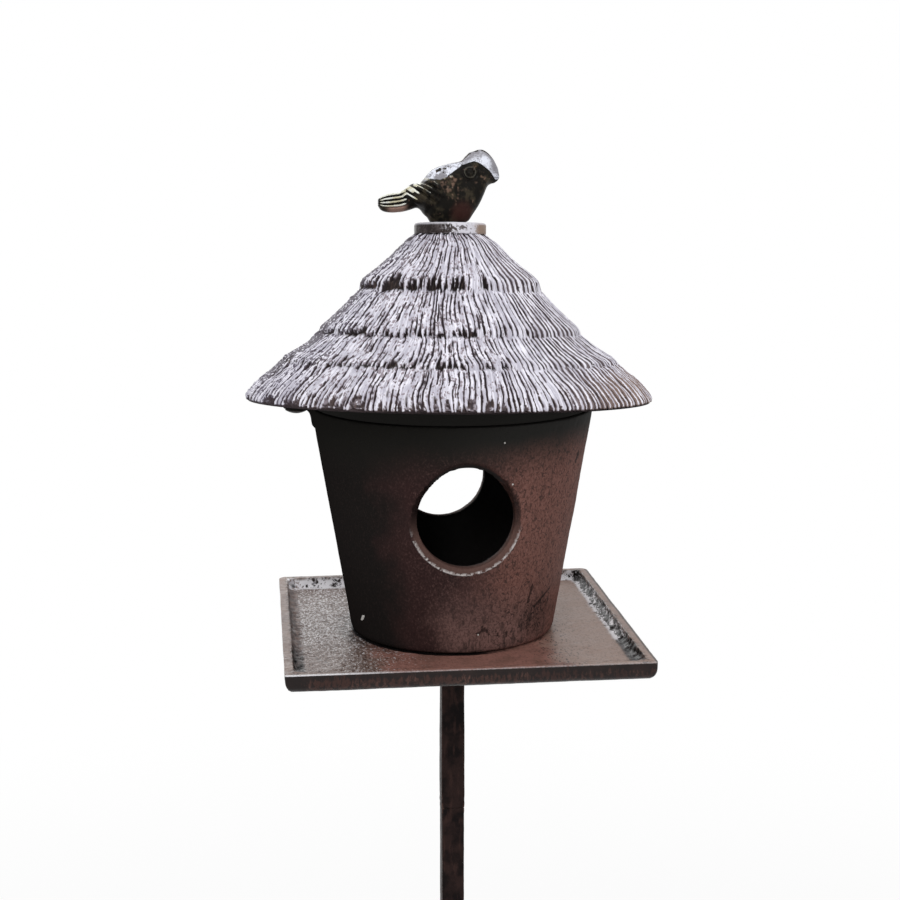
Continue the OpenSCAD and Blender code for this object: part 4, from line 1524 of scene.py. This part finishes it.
@dataclass
class Bird:
    """The cast bird on top: a lofted body with feathers, eyes, a beak and a ridged tail."""

    frame: RoofFrame
    foot: float  # height of its flat foot in the roof's frame
    # Distance forward, height of the widest line, half width, rise above the line and drop below it.
    stations: Sequence[Sequence[float]] = (
        (-41.1, 11, 3.2, 2, 2), (-39.6, 10.6, 4.6, 3.6, 3.6), (-37.2, 10.6, 5.2, 5, 4.7),
        (-33.2, 10.9, 5.6, 5.6, 5.4), (-28.6, 11.6, 6.2, 5.7, 5.7), (-25.4, 12.6, 6.8, 6.6, 6.1),
        (-22.4, 14, 7.6, 7.6, 6.6), (-19.4, 15.2, 8.8, 6.8, 6.9), (-17.2, 15.9, 9.8, 6.6, 8.6),
        (-15.2, 16.4, 10.6, 8.4, 11.6), (-13.2, 16.8, 11.2, 10.4, 13.8), (-10.8, 17, 11.7, 12.6, 17.4),
        (-7.3, 17.4, 12, 14, 19.6), (-3.7, 17.8, 12.1, 14.8, 20), (0, 18.2, 12, 15.4, 20.4),
        (3.5, 19.2, 11.6, 15.1, 21), (6.4, 20.8, 11, 14.3, 22), (8.4, 22.4, 10.4, 15.3, 23),
        (10.6, 24.2, 9.8, 15.8, 23.6), (13, 26, 9.3, 14.8, 21.8), (16.2, 28, 8.8, 13.9, 18.8),
        (18.7, 29.2, 8.2, 12.4, 14.8), (21, 29.8, 7.2, 10.2, 9.8), (23.2, 29.6, 5.6, 7.6, 7.4),
        (25.2, 28.8, 3.8, 5.6, 5.8), (26.8, 27.8, 2.2, 3.8, 3.6), (27.7, 26.6, 0.8, 1.2, 1.2),
    )
    rings: int = 9  # rings between two stations
    sides: int = 184  # points in a ring
    slope: float = math.radians(31.0)  # slope of the wing's feathers
    vane: float = 0.4  # height of a vane of the tail, where a ring's half height is 1
    eye: Point2 = (10.0, 28.4)
    eye_ball: float = 2.2  # radius of the ball of the eye
    eye_ring: float = 3.15  # radius of the ring round it
    eye_hollow: float = 4.3  # radius of the hollow round the ring
    beak: float = 25.2  # height of the line between the beak's halves
    cap: Sequence[Point2] = (  # lower edge of the silver on the head: distance forward and height
        (6.4, 32.6), (9.4, 34.4), (12.5, 35.2), (15.0, 34.2), (17.6, 32.3), (21.6, 29.0), (25.2, 24.8),
    )
    mantle: Sequence[Point2] = (  # lower edge of the silver on the back
        (-16.0, 22.0), (-13.0, 24.0), (-7.0, 23.6), (-3.0, 25.2), (1.3, 28.8), (5.0, 31.5),
    )
    brows: Spots = (((7.6, 33.4), 1.7), ((12.6, 32.8), 2.2), ((15.8, 28.2), 1.8))
    brow_rise: Sequence[float] = (0.7, 1.0, 0.6)
    shoulder: Spots = (((-0.7, 25.3), 1.6), ((-4.6, 24.2), 1.7), ((-1.2, 18.9), 1.6))
    smears: Spots = (
        ((-0.4, 21.4), 2.6), ((-2.9, 22.6), 2.0), ((0.8, 23.6), 2.0), ((-1.6, 19.2), 1.8),
        ((16.6, 26.6), 2.3), ((12.2, 31.6), 1.2), ((19.0, 24.6), 1.2), ((-6.6, 20.6), 1.6),
    )
    feathers: Sequence[Feather] = (  # from the lowest up
        Feather((-28.6, 17.0), (-14.4, 8.5), 1.6, 1.5, 0.2, 0.7),
        Feather((-26.0, 19.8), (-12.9, 10.6), 2.0, 1.9, 0.42, 0.62),
        Feather((-21.6, 21.2), (-9.8, 13.4), 1.5, 2.1, 0.2, 0.98),
        Feather((-19.8, 22.6), (-8.6, 16.2), 1.4, 2.2, 0.28, 0.9),
        Feather((-15.6, 24.6), (-8.8, 20.2), 1.4, 1.5, 0.4, 0.5),
        Feather((-11.6, 22.6), (-7.0, 18.6), 1.4, 1.7, 0.1, 0.8),
        Feather((-13.2, 15.6), (-8.4, 12.2), 1.5, 1.5, 0.01, 0.2),
        Feather((-9.8, 18.8), (-5.4, 15.2), 1.5, 1.1, 0.01, 0.15),
    )
    # Pits, lumps and the silver's ragged edges.
    grains: Sequence[Grain] = (Grain(61, 1.7, 1), Grain(62, 9.0, 3), Grain(63, 1.5, 2))

    def _ring_rows(self) -> Array:
        """The stations with smooth ones between them.

        Returns:
            One row of five measures for each ring.
        """
        rows = np.array(self.stations, float)
        last = len(rows) - 1
        place = np.arange(last * self.rings + 1) / self.rings
        index = np.minimum(place.astype(int), last)
        share = (place - index)[:, None]
        before, here = rows[np.maximum(index - 1, 0)], rows[index]
        after, beyond = rows[np.minimum(index + 1, last)], rows[np.minimum(index + 2, last)]
        return (
            here
            + share * (after - before) / 2
            + share**2 * (2 * before - 5 * here + 4 * after - beyond) / 2
            + share**3 * (3 * here - before - 3 * after + beyond) / 2
        )

    def _wing(self, x: Array, z: Array) -> Tuple[Array, Array]:
        """The folded wing.

        Args:
            x: Distance forward.
            z: Height.

        Returns:
            The added height, and 1 where the feathers are brushed.
        """
        height, light = np.zeros_like(x), np.zeros_like(x)
        for feather in self.feathers:
            own, brushed = feather.lay(x, z)
            light = np.where(own > height, brushed * (1.0 - 0.5 * smooth(x, -20.5, -16.0)), light)
            height = np.maximum(height, own)
        back = x * math.cos(self.slope) - z * math.sin(self.slope)
        across = z * math.cos(self.slope) + x * math.sin(self.slope)
        bed = band(across, -0.5, 1.5, 13.5, 16.0) * smooth(back, -10.0, -13.5)
        return height + 0.5 * bed * smooth(back, -31.0, -28.0), light

    def _head(self, x: Array, z: Array) -> Tuple[Array, Array]:
        """The eye, the brow and the beak's line.

        Args:
            x: Distance forward.
            z: Height.

        Returns:
            The added height, and how light the eye's ring is.
        """
        from_eye = np.hypot(x - self.eye[0], z - self.eye[1])
        ring = 0.95 * bell(from_eye - self.eye_ring, 0.4)
        ball = 1.2 * np.clip(1.0 - (from_eye / self.eye_ball) ** 2, 0.0, 1.0) ** 0.6
        height = ball + ring - 0.6 * bell(from_eye - self.eye_hollow, 0.8)
        for rise, brow in zip(self.brow_rise, blobs(self.brows, x, z)):
            height += rise * brow
        gape = z - (self.beak + 0.6 * np.clip((x - 18.5) / 8.8, 0.0, 1.0))
        height -= 0.65 * bell(gape, 0.38) * band(x, 18.0, 20.0, 27.0, 28.2)
        fold = z - (24.0 - 0.25 * (x - 8.0))
        height -= 0.3 * bell(fold, 0.5) * band(x, 5.0, 7.5, 12.0, 14.5)
        return height, smooth(ring, 0.45, 0.85)

    def _silver(self, x: Array, z: Array) -> Array:
        """Share of the dry-brushed silver on the cap of the head and the upper back.

        Args:
            x: Distance forward.
            z: Height.

        Returns:
            The share.
        """
        over_cap, over_back = (z - np.interp(x, *np.transpose(edge)) for edge in (self.cap, self.mantle))
        cap = smooth(over_cap, -0.9, 0.9) * smooth(x, 4.0, 6.6)
        return np.maximum(cap, smooth(over_back, -1.0, 1.4) * band(x, -17.5, -14.0, 4.4, 6.4))

    def _tail(self, x: Array, sine: Array) -> Tuple[Array, Array]:
        """Share of the tail, and its vanes: 1 on their ridges and -1 in their grooves."""
        on_tail = smooth(x, -23.5, -28.0) * smooth(x, -41.0, -39.4)
        return on_tail, np.cos(math.tau * (sine - 0.05) / self.vane)

    def _masks(self, ring: Ring) -> Dict[str, Array]:
        """Where the bird takes each of its colours.

        Args:
            ring: Values at the points of its rings.

        Returns:
            Shares of the colours at each point, by name.
        """
        x, z, sine, cosine, light, head, eye, silver, pitted, ragged = ring
        on_tail, vane = self._tail(x, sine)
        under = smooth(sine, -0.32, -0.6)
        vanes = on_tail * (1.0 - under)
        bumps = sum(blobs(self.shoulder, x, z - 0.5)) + 0.4 * ragged
        smeared = np.maximum.reduce(blobs(self.smears, x, z, 0.8)) + 1.1 * ragged
        # painted shade: the silver is thinned to a dark line along the top silhouette seen from the camera
        outline = (sine > 0.0) * band(x, -18.0, -13.0, 24.0, 27.0) * smooth(ragged, -1.1, 0.3)
        outline = outline * band(cosine, -0.34, -0.14, 0.5, 0.62)
        ridges = smooth(vane + 0.25 * ragged, 0.0, 0.5) * vanes
        # painted shade: the cap's silver turns grey over the crest and on the far side, all but the near
        # flank
        shaded_far_cap = smooth(cosine, -0.8, -0.5) * smooth(x, 5.0, 9.0) * (1.0 + 0.3 * ragged)
        return {
            "silver": silver * ((1.0 - pitted) * (1.0 - 0.75 * outline) + 0.18 * ragged),
            "cream": np.maximum.reduce([light, ridges, 0.45 * smooth(bumps, 0.5, 1.0)]),
            "rust": 0.9 * bell(x - 6.0, 9.0) * bell(z - 6.0, 8.0),
            "under": on_tail * under * smooth(x, -38.0, -33.0),
            # painted shade: darker in the tail's grooves and in the head's hollows
            "painted_shade": smooth(vane, -0.2, -0.7) * vanes + np.clip(-head, 0.0, 0.6),
            "ring": eye,
            "smear": smooth(smeared, 0.6, 1.5),
            "thin_and_shaded": shaded_far_cap + smooth(x, 20.0, 24.0) * smooth(z, 27.0, 30.0),
        }

    def build(self) -> bpy.types.Mesh:
        """The bird's closed mesh, with its colour masks.

        Returns:
            The mesh.
        """
        rows = self._ring_rows()[:, :, None]
        turn = np.arange(self.sides) * math.tau / self.sides
        shape = (len(rows), self.sides)
        x, middle, half, rise, drop = (np.broadcast_to(rows[:, measure], shape) for measure in range(5))
        sine, cosine = np.sin(turn)[None, :], np.cos(turn)[None, :]
        z = middle + np.where(sine < 0.0, drop, rise) * sine
        wing, light = self._wing(x, z)
        head, eye = self._head(x, z)
        silver = self._silver(x, z)
        on_tail, vane = self._tail(x, sine)
        spots = np.stack([x, half * cosine, z], axis=-1)
        pits, lumps, ragged = (grain.at(spots) for grain in self.grains)

        flank = smooth(np.abs(cosine), 0.0, 0.35)
        on_back = smooth(z, 20.0, 23.0) * band(x, -17.0, -13.0, 0.0, 4.0)
        pitted = smooth(pits, 0.42, 0.6) * on_back
        on_crest = (sine > 0.0) * band(x, 4.0, 8.0, 24.0, 27.0)
        crest = 0.8 * bell(cosine, 0.1) * on_crest - 1.1 * band(x, 5.0, 10.0, 19.0, 25.0)
        bulges = 0.7 * sum(blobs(self.shoulder, x, z))
        out = (wing + head + bulges) * flank + 0.6 * vane * on_tail * smooth(sine, -0.75, -0.45)
        out = out + 0.14 * lumps + 0.05 * ragged - 0.45 * pitted + 0.5 * silver * smooth(x, 5.0, 7.0)
        y = (half + out) * cosine
        z = np.maximum(0.0, z + (out * 0.6 * on_tail + crest) * sine)
        masks = self._masks(Ring(x, z, sine, cosine, light, head, eye, silver, pitted, ragged))
        points = self.frame.place(np.stack([x, y, z + self.foot], axis=-1))
        return grid_mesh("bird_cast", points, masks, capped=True)

    def make(self, material: bpy.types.Material) -> None:
        """Build the bird and settle it on the roof."""
        Piece("bird_cast", Body.ROOF, Slot.BIRD, ["bird"]).settle(self.build(), material)


# ---------------- castings from the frame


@dataclass
class Casting:
    """A cast piece whose form is the frame's own, with the lumps and rounded edges of iron."""

    piece: Piece
    voxel: float  # size of the faces
    lumps: Grain = Grain(21, 30.0, 2)  # broad unevenness
    lump_depth: float = 0.25
    skin: Grain = Grain(22, 3.0, 2)  # fine unevenness
    skin_depth: float = 0.06

    def masks(self, points: Array, normals: Array) -> Dict[str, Array]:
        """Values that the finish needs at each point, by name."""
        return {}

    def relief(self, points: Array, masks: Dict[str, Array]) -> Array:
        """Height that is added at each point."""
        return self.lumps.at(points) * self.lump_depth + self.skin.at(points) * self.skin_depth

    def shaped(self, points: Array) -> Array:
        """The points after broad changes of form."""
        return points

    def make(self, nodes: Dict[str, bpy.types.Object], material: bpy.types.Material) -> None:
        """Build the piece inside the box of the node that it replaces, and settle it.

        Args:
            nodes: Nodes of the frame by name.
            material: Its finish.
        """
        mesh = remeshed(self.piece.name, nodes[self.piece.replaced[0]], self.voxel)
        points, normals = read_points(mesh)
        masks = self.masks(points, normals)
        write_values(mesh, {"bend": edge_bend(mesh, points, normals, self.voxel), **masks})
        moved = self.shaped(points) + normals * self.relief(points, masks)[:, None]
        write_points(mesh, np.clip(moved, points.min(axis=0), points.max(axis=0)))
        self.piece.settle(mesh, material)


class Scratch(NamedTuple):
    """A dark scratch in the house's patina."""

    start: Point2  # turn round the house in degrees, and height
    end: Point2
    half: float  # half its width


@dataclass
class House(Casting):
    """The round house: its entrances have a bevelled lip, crumbled where the brush caught it."""

    hole_radius: float = 26.7
    lip: float = 3.6  # width of the bevelled lip round the entrances
    mouth: float = 81.0  # outer radius at the mouth
    height: float = 132.0  # height of the wall
    crumbs: Grain = Grain(25, 2.6, 3)
    worms: Grain = Grain(26, 1.8, 2)
    # A scaly patch: middle and reach of its turn in degrees, then of its height.
    scaly: Sequence[Point2] = ((-47.0, 13.0), (930.0, 13.0))
    scratches: Sequence[Scratch] = (
        Scratch((-38.0, 943.0), (-50.0, 935.5), 0.9), Scratch((-53.0, 950.0), (-55.0, 939.0), 0.8),
        Scratch((-30.0, 1021.0), (-32.0, 1017.0), 1.6), Scratch((-78.0, 926.5), (-84.0, 925.0), 0.8),
        Scratch((-81.0, 928.5), (-77.0, 924.0), 0.7), Scratch((-73.0, 924.5), (-71.0, 921.5), 0.7),
        Scratch((-67.0, 924.0), (-66.0, 920.5), 0.7),
    )

    def radius_at(self, height: Union[float, Array]) -> Array:
        """Outer radius of the wall at a height."""
        return HOUSE_FOOT + (self.mouth - HOUSE_FOOT) * np.clip((height - FLOOR) / self.height, 0.0, 1.0)

    def _scratched(self, turn: Array, radius: Array, z: Array) -> Array:
        """Where scratches run.

        Args:
            turn: Turn of each point round the house, in degrees.
            radius: Its distance from the axis.
            z: Its height.

        Returns:
            One value for each point, 1 on a scratch's middle line.
        """
        total = np.zeros(len(z))
        for start, end, half in self.scratches:
            along = np.array((math.radians(end[0] - start[0]) * HOUSE_FOOT, end[1] - start[1]))
            here = np.stack([(turn - start[0]) * math.radians(1.0) * radius, z - start[1]], axis=1)
            share = np.clip(here @ along / (along @ along), 0.0, 1.0)
            away = np.linalg.norm(here - share[:, None] * along, axis=1)
            total = np.maximum(total, smooth(away, half * 1.4, half * 0.4))
        return total

    def masks(self, points: Array, normals: Array) -> Dict[str, Array]:
        """Side, inside, lip, crumbs, scaly patch and scratches.

        Args:
            points: Points of the mesh.
            normals: Their normals.

        Returns:
            One value for each point, by name.
        """
        x, y, z = points.T
        radius, turn = np.hypot(x, y), np.degrees(np.arctan2(y, x))
        past_hole = np.hypot(x, z - HOLE) - self.hole_radius
        bored = smooth(past_hole, 2.4, 1.0) * 3.2
        inside = smooth(self.radius_at(z) - radius - bored, 1.4, 3.2)
        edge = past_hole + self.crumbs.at(points) * 0.5
        low = smooth(z, HOLE - 2.0, HOLE - 16.0)
        patch = [(value - middle) / reach for value, (middle, reach) in zip((turn, z), self.scaly)]
        outside = {
            "crumbs": smooth(np.abs(past_hole - self.lip), 1.6, 0.6) * low,
            "scaly": smooth(np.hypot(*patch), 1.1, 0.6),
            "mark": self._scratched(turn, radius, z),
        }
        masks = {name: values * (1.0 - inside) for name, values in outside.items()}
        masks["lip"] = band(edge, -1.0, 0.2, self.lip - 0.4, self.lip + 0.4) * (1.0 - 0.85 * inside)
        return {"side": x / np.maximum(radius, 1.0), "inside": inside, **masks}

    def relief(self, points: Array, masks: Dict[str, Array]) -> Array:
        """Lumps, upright marks on the right and crumbs on the lip's edge.

        Args:
            points: Points of the mesh.
            masks: Their values by name.

        Returns:
            Height that is added at each point.
        """
        upright = points * np.array([1.0, 1.0, 0.4])
        shown = 1.0 - masks["inside"]
        curled = 0.1 + 0.22 * smooth(masks["side"], -0.1, 0.5)
        worms = np.maximum(self.worms.at(upright) - 0.2, 0.0) * curled
        scales = np.maximum(self.crumbs.at(upright * 1.3), 0.0) * masks["scaly"]
        crumbs = np.maximum(self.crumbs.at(points * 1.2) * masks["crumbs"], 0.0)
        cast = super().relief(points, masks) * (0.4 + 0.6 * shown)
        return cast - worms * shown - 0.45 * scales + 0.5 * crumbs


def rounded_edge(
    across: Array, along: Array, width: Union[float, Array], height: Union[float, Array]
) -> Tuple[Array, Array]:
    """Points of a square edge brought onto a round one.

    Args:
        across: Distance past one face, negative inside.
        along: Distance past the other face.
        width: Width of the round edge, along the first distance.
        height: Its height, along the second.

    Returns:
        The new distances.
    """
    out, over = across / width + 1.0, along / height + 1.0
    away = np.hypot(np.maximum(out, 0.0), np.maximum(over, 0.0))
    on_edge = (out > 0.0) & (over > 0.0) & (away > 1.0)
    shrink = np.where(on_edge, 1.0 / np.maximum(away, 1.0), 1.0)
    return (out * shrink - 1.0) * width, (over * shrink - 1.0) * height


@dataclass
class Tray(Casting):
    """The square tray: a hammered floor, crumbled hollows along the rim and soft edges."""

    thick: float = 10.5  # thickness of the tray
    rim: float = 6.0  # width of the rim's top
    hollow: float = 4.8  # width of the hollow inside the rim
    lower: Point2 = (5.0, 9.5)  # width and height of the round lower edges at the left and the right
    corner: float = 5.0  # radius of the upright edges at the back
    front_corner: float = 1.5  # radius of those in front
    crumbs: Grain = Grain(41, 3.4, 3)
    hammer: Grain = Grain(42, 3.0, 2)

    def shaped(self, points: Array) -> Array:
        """The points with round corners, and with the lower edges at the left and the right turned in.

        Args:
            points: Points of the mesh.

        Returns:
            The moved points.
        """
        x, y, z = points.T
        foot = TRAY_TOP - self.thick
        upright = np.where(y > 0.0, self.corner, self.front_corner)
        past_x, below = rounded_edge(np.abs(x) - TRAY_HALF, foot - z, *self.lower)
        past_x, past_y = rounded_edge(past_x, np.abs(y) - TRAY_HALF, upright, upright)
        sideways, lengthways = np.sign(x) * (TRAY_HALF + past_x), np.sign(y) * (TRAY_HALF + past_y)
        return np.stack([sideways, lengthways, foot - below], axis=1)

    def masks(self, points: Array, normals: Array) -> Dict[str, Array]:
        """Outer face, rim and hollow.

        Args:
            points: Points of the mesh.
            normals: Their normals.

        Returns:
            One value for each point, by name.
        """
        x, y, z = points.T
        from_edge, up = TRAY_HALF - np.maximum(np.abs(x), np.abs(y)), normals[:, 2]
        face = np.maximum(smooth(up, 0.55, 0.2) * smooth(from_edge, 4.5, 3.0), smooth(up, -0.2, -0.5))
        edge = from_edge + self.crumbs.at(points) * 0.48 - self.rim
        cove = band(edge, -1.6, -0.6, self.hollow - 0.6, self.hollow + 1.4)
        rim = smooth(z, FLOOR + 3.8, FLOOR + 4.6) * (1.0 - face) * (1.0 - cove)
        return {"face": face, "rim": rim, "cove": cove * (1.0 - face)}

    def relief(self, points: Array, masks: Dict[str, Array]) -> Array:
        """Lumps, a hammered floor on the left, and crumbs along the hollow.

        Args:
            points: Points of the mesh.
            masks: Their values by name.

        Returns:
            Height that is added at each point.
        """
        left = 0.25 + 0.75 * smooth(points[:, 0], -20.0, -50.0)
        floor = np.clip(1.0 - masks["face"] - masks["rim"] - masks["cove"], 0.0, 1.0)
        beaten = self.hammer.at(points) * 0.22 * left * floor
        return super().relief(points, masks) + beaten + self.crumbs.at(points * 1.3) * 0.6 * masks["cove"]


@dataclass
class Collar(Casting):
    """The round collar under the bird."""

    frame: Optional[RoofFrame] = None
    height: float = 6.5

    def masks(self, points: Array, normals: Array) -> Dict[str, Array]:
        """Side and top edge.

        Args:
            points: Points of the mesh.
            normals: Their normals.

        Returns:
            One value for each point, by name.
        """
        x, y, z = self.frame.within(points).T
        rim = smooth(z - self.frame.height, self.height - 1.6, self.height - 0.5)
        return {"side": x / np.maximum(np.hypot(x, y), 1.0), "rim": rim}


class Chip(NamedTuple):
    """A place where the house's patina is knocked off."""

    turn: float  # round the house, in degrees
    height: float
    half: Point2  # half its width and half its length
    slant: float = 0.0


@dataclass
class HouseChips:
    """Chips and specks of bare metal on the house."""

    house: House
    thick: float = 0.3  # how far a chip stands out
    off: float = 0.05  # how far its middle lies off the wall
    uneven: Grain = Grain(71, 0.8, 2)
    uneven_depth: float = 0.12
    chips: Sequence[Chip] = (
        Chip(-152.0, 927.0, (1.1, 3.0), -42.0),
        Chip(-76.0, 1034.8, (0.5, 0.5)),
        Chip(-71.0, 1011.0, (0.6, 0.5), 20.0),
        Chip(-83.0, 924.0, (0.4, 0.5)),
    )

    def make(self, material: bpy.types.Material) -> None:
        """Build every chip as a low rounded blister in one mesh, and settle it.

        Args:
            material: Its finish.
        """
        bm = bmesh.new()
        for chip in self.chips:
            made = bmesh.ops.create_icosphere(bm, subdivisions=3, radius=1.0)
            turns = zip((chip.turn + 90.0, 90.0, chip.slant), "ZXZ")
            face, upright, lean = (Matrix.Rotation(math.radians(turn), 4, axis) for turn, axis in turns)
            outward = float(self.house.radius_at(chip.height)) + self.off
            at = Matrix.Translation((0.0, -outward, chip.height))
            size = Matrix.Diagonal((*chip.half, self.thick, 1.0))
            placing = Matrix.Scale(MM, 4) @ face @ at @ upright @ lean @ size
            bmesh.ops.transform(bm, matrix=placing, verts=made["verts"])
        mesh = bpy.data.meshes.new("house_chips")
        bm.to_mesh(mesh)
        bm.free()
        points, normals = read_points(mesh)
        write_points(mesh, points + normals * self.uneven.at(points)[:, None] * self.uneven_depth)
        Piece("house_chips", Body.ROOT, Slot.HOUSE).settle(mesh, material)


# ---------------- studio


@dataclass(frozen=True)
class Lamp:
    """One square area lamp that points at the feeder; its place is in metres."""

    name: str
    at: Sequence[float]
    size: float
    power: float  # watts


def aimed(made: bpy.types.Object, at: Sequence[float], to: Sequence[float]) -> None:
    """Place a camera or a lamp and point it at something."""
    made.location = at
    made.rotation_euler = (Vector(to) - Vector(at)).to_track_quat("-Z", "Y").to_euler()


@dataclass(frozen=True)
class Studio:
    """Pale floor, soft lamps and the camera, with places in metres."""

    eye: Sequence[float] = (-0.1093, -0.9309, 1.1935)
    target: Sequence[float] = (-0.00117, 0.00014, 1.0170)
    lens: float = 65.97  # focal length in millimetres
    sensor: float = 36.0  # width of the sensor in millimetres
    far: float = 60.0  # where the camera's view ends
    floor_half: float = 6.0
    fade: Point2 = (0.6, 2.4)  # where the floor starts to fade and where it is all white
    floor_grey: float = 0.9
    near_white: float = 0.75  # how white the floor looks near the feeder
    ambient: float = 0.55  # strength of the surroundings' light
    middle: Sequence[float] = (0.0, 0.0, 1.02)  # where the lamps point
    lamps: Sequence[Lamp] = (
        Lamp("key", (-0.5, -1.5, 2.1), 0.9, 14.0),
        Lamp("fill", (1.5, -1.2, 1.5), 1.2, 6.0),
        Lamp("top", (0.1, 0.3, 2.6), 1.2, 7.0),
        Lamp("back", (-0.4, 1.7, 1.5), 1.2, 7.0),
    )

    def camera(self) -> None:
        """Make the scene's camera."""
        data = bpy.data.cameras.new("camera")
        data.lens, data.sensor_width, data.clip_end = self.lens, self.sensor, self.far
        made = placed("camera", data)
        aimed(made, self.eye, self.target)
        bpy.context.scene.camera = made

    def light(self) -> None:
        """Hang the lamps."""
        for lamp in self.lamps:
            data = bpy.data.lights.new(lamp.name, "AREA")
            data.size, data.energy = lamp.size, lamp.power
            aimed(placed(lamp.name, data), lamp.at, self.middle)

    def world(self) -> None:
        """White surroundings that light the object softly."""
        world = bpy.data.worlds.new("surroundings")
        bpy.context.scene.world = world
        world.use_nodes = True
        graph = Graph(world.node_tree)
        strength = self.ambient + (1.0 - self.ambient) * graph.seen()
        light = graph.node("ShaderNodeBackground", inputs={"Color": (1.0,) * 4, "Strength": strength})
        graph.node("ShaderNodeOutputWorld", inputs={"Surface": light})

    def floor(self) -> None:
        """Pale floor that fades into the white surroundings."""
        mesh = bpy.data.meshes.new("floor")
        low, high = -self.floor_half, self.floor_half
        corners = [(low, low, 0.0), (high, low, 0.0), (high, high, 0.0), (low, high, 0.0)]
        mesh.from_pydata(corners, [], [(0, 1, 2, 3)])
        skin = Skin("floor_pale")
        far = skin.vector("LENGTH", skin.place, output=1).step(*(edge / MM for edge in self.fade))
        plain = skin.node("ShaderNodeBsdfDiffuse", inputs={"Color": (*(self.floor_grey,) * 3, 1.0)})
        glow = skin.node("ShaderNodeEmission", inputs={"Color": (1.0,) * 4})
        share = skin.seen() * (self.near_white + (1.0 - self.near_white) * far)
        both = skin.node("ShaderNodeMixShader", inputs={0: share, 1: plain, 2: glow})
        skin.node("ShaderNodeOutputMaterial", inputs={"Surface": both})
        dress(mesh, skin.made)
        placed("floor", mesh)

    def make(self) -> None:
        """Set up the camera, the surroundings, the floor and the lamps."""
        for step in (self.camera, self.world, self.floor, self.light):
            step()


# ---------------- feeder


@dataclass
class Feeder:
    """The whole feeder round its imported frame."""

    nodes: Dict[str, bpy.types.Object]  # nodes of the frame by name
    mouth_height: float  # height of the mouth of the house
    fixings: Sequence[str] = (
        "bird_screw", "bird_washer", "house_bolt", "house_washer",
        "lower_stud", "pivot_bolt", "pivot_washer", "stem_stud",
    )

    def _dress(self, names: Sequence[str], material: bpy.types.Material) -> None:
        """Give nodes of the frame their finish.

        Args:
            names: Names of the nodes.
            material: Their finish.
        """
        for name in names:
            dress(self.nodes[name].data, material)
            LOG.info("%s: dressed", name)

    def _posts(self) -> None:
        """The square posts and the stem."""
        iron = Iron(
            name="post_patina", dark=srgb(20, 15, 15), mid=srgb(42, 30, 28), warm=srgb(62, 44, 40),
            worn=srgb(112, 84, 76), mottle=10.0, shine=0.05, wear=0.55,
        ).material()
        for node in ("post_lower", "post_upper", "stem"):
            piece = Piece(f"{node}_cast", Body.ROOT, Slot.POST, [node])
            Casting(piece, 1.6, lump_depth=0.18).make(self.nodes, iron)

    def _tray(self) -> None:
        """The tray."""
        iron = TrayIron(
            name="tray_patina", dark=srgb(50, 36, 33), mid=srgb(104, 74, 66), warm=srgb(124, 90, 80),
            worn=srgb(206, 196, 192), grain=1.2, wear=0.15,
        ).material()
        Tray(Piece("tray_cast", Body.ROOT, Slot.TRAY, ["tray"]), 1.25).make(self.nodes, iron)

    def _house(self) -> None:
        """The house with its chips, and the parts of the roof that are finished like it."""
        iron = HouseIron(
            name="house_patina", dark=srgb(33, 30, 29), mid=srgb(56, 40, 39), warm=srgb(116, 80, 72),
            mottle=22.0, shine=0.0, wear=0.0,
        ).material()
        house = House(Piece("house_cast", Body.ROOT, Slot.HOUSE, ["house"]), 1.3)
        house.make(self.nodes, iron)
        self._dress(("roof_seat_ring", "roof_pivot_boss"), iron)
        metal = Iron(
            name="house_bare_metal", dark=srgb(170, 166, 162), mid=srgb(206, 204, 200),
            warm=srgb(220, 218, 214), deep=srgb(120, 112, 108), mottle=1.5, grain=0.5, pit=0.08,
        ).material()
        HouseChips(house).make(metal)

    def _roof(self) -> None:
        """The thatch, the collar and the bird."""
        frame = RoofFrame(self.mouth_height)
        Thatch(frame, COURSES).make(ThatchPaint().material())
        iron = CollarIron(
            name="collar_silver_on_iron", dark=srgb(44, 38, 37), mid=srgb(84, 76, 76),
            warm=srgb(146, 126, 112), worn=srgb(206, 202, 204), mottle=6.0,
        ).material()
        collar = Collar(
            Piece("collar_cast", Body.ROOF, Slot.COLLAR, ["roof_collar"]), 0.55, lump_depth=0.1, frame=frame
        )
        collar.make(self.nodes, iron)
        Bird(frame, frame.height + collar.height).make(BirdPaint().material())

    def _fixings(self) -> None:
        """The bolts, studs and washers."""
        steel = Iron(
            name="fixing_blackened", dark=srgb(24, 21, 21), mid=srgb(38, 33, 32), warm=srgb(58, 44, 40),
            mottle=5.0, grain=0.8, pit=0.1, wear=0.0,
        ).material()
        self._dress(self.fixings, steel)

    def make(self) -> None:
        """Build and dress every piece."""
        for step in (self._posts, self._tray, self._house, self._roof, self._fixings):
            step()


def main() -> None:
    """Build the feeder round its frame, and the studio round the feeder."""
    logging.basicConfig(level=logging.INFO, format="%(name)s: %(message)s")
    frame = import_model()
    mouth_height = frame["joints"][0]["pos_m"][2] / MM
    bpy.context.scene.view_settings.view_transform = "Standard"
    Studio().make()
    Feeder(frame["nodes"], mouth_height).make()


if __name__ == "__main__":
    main()
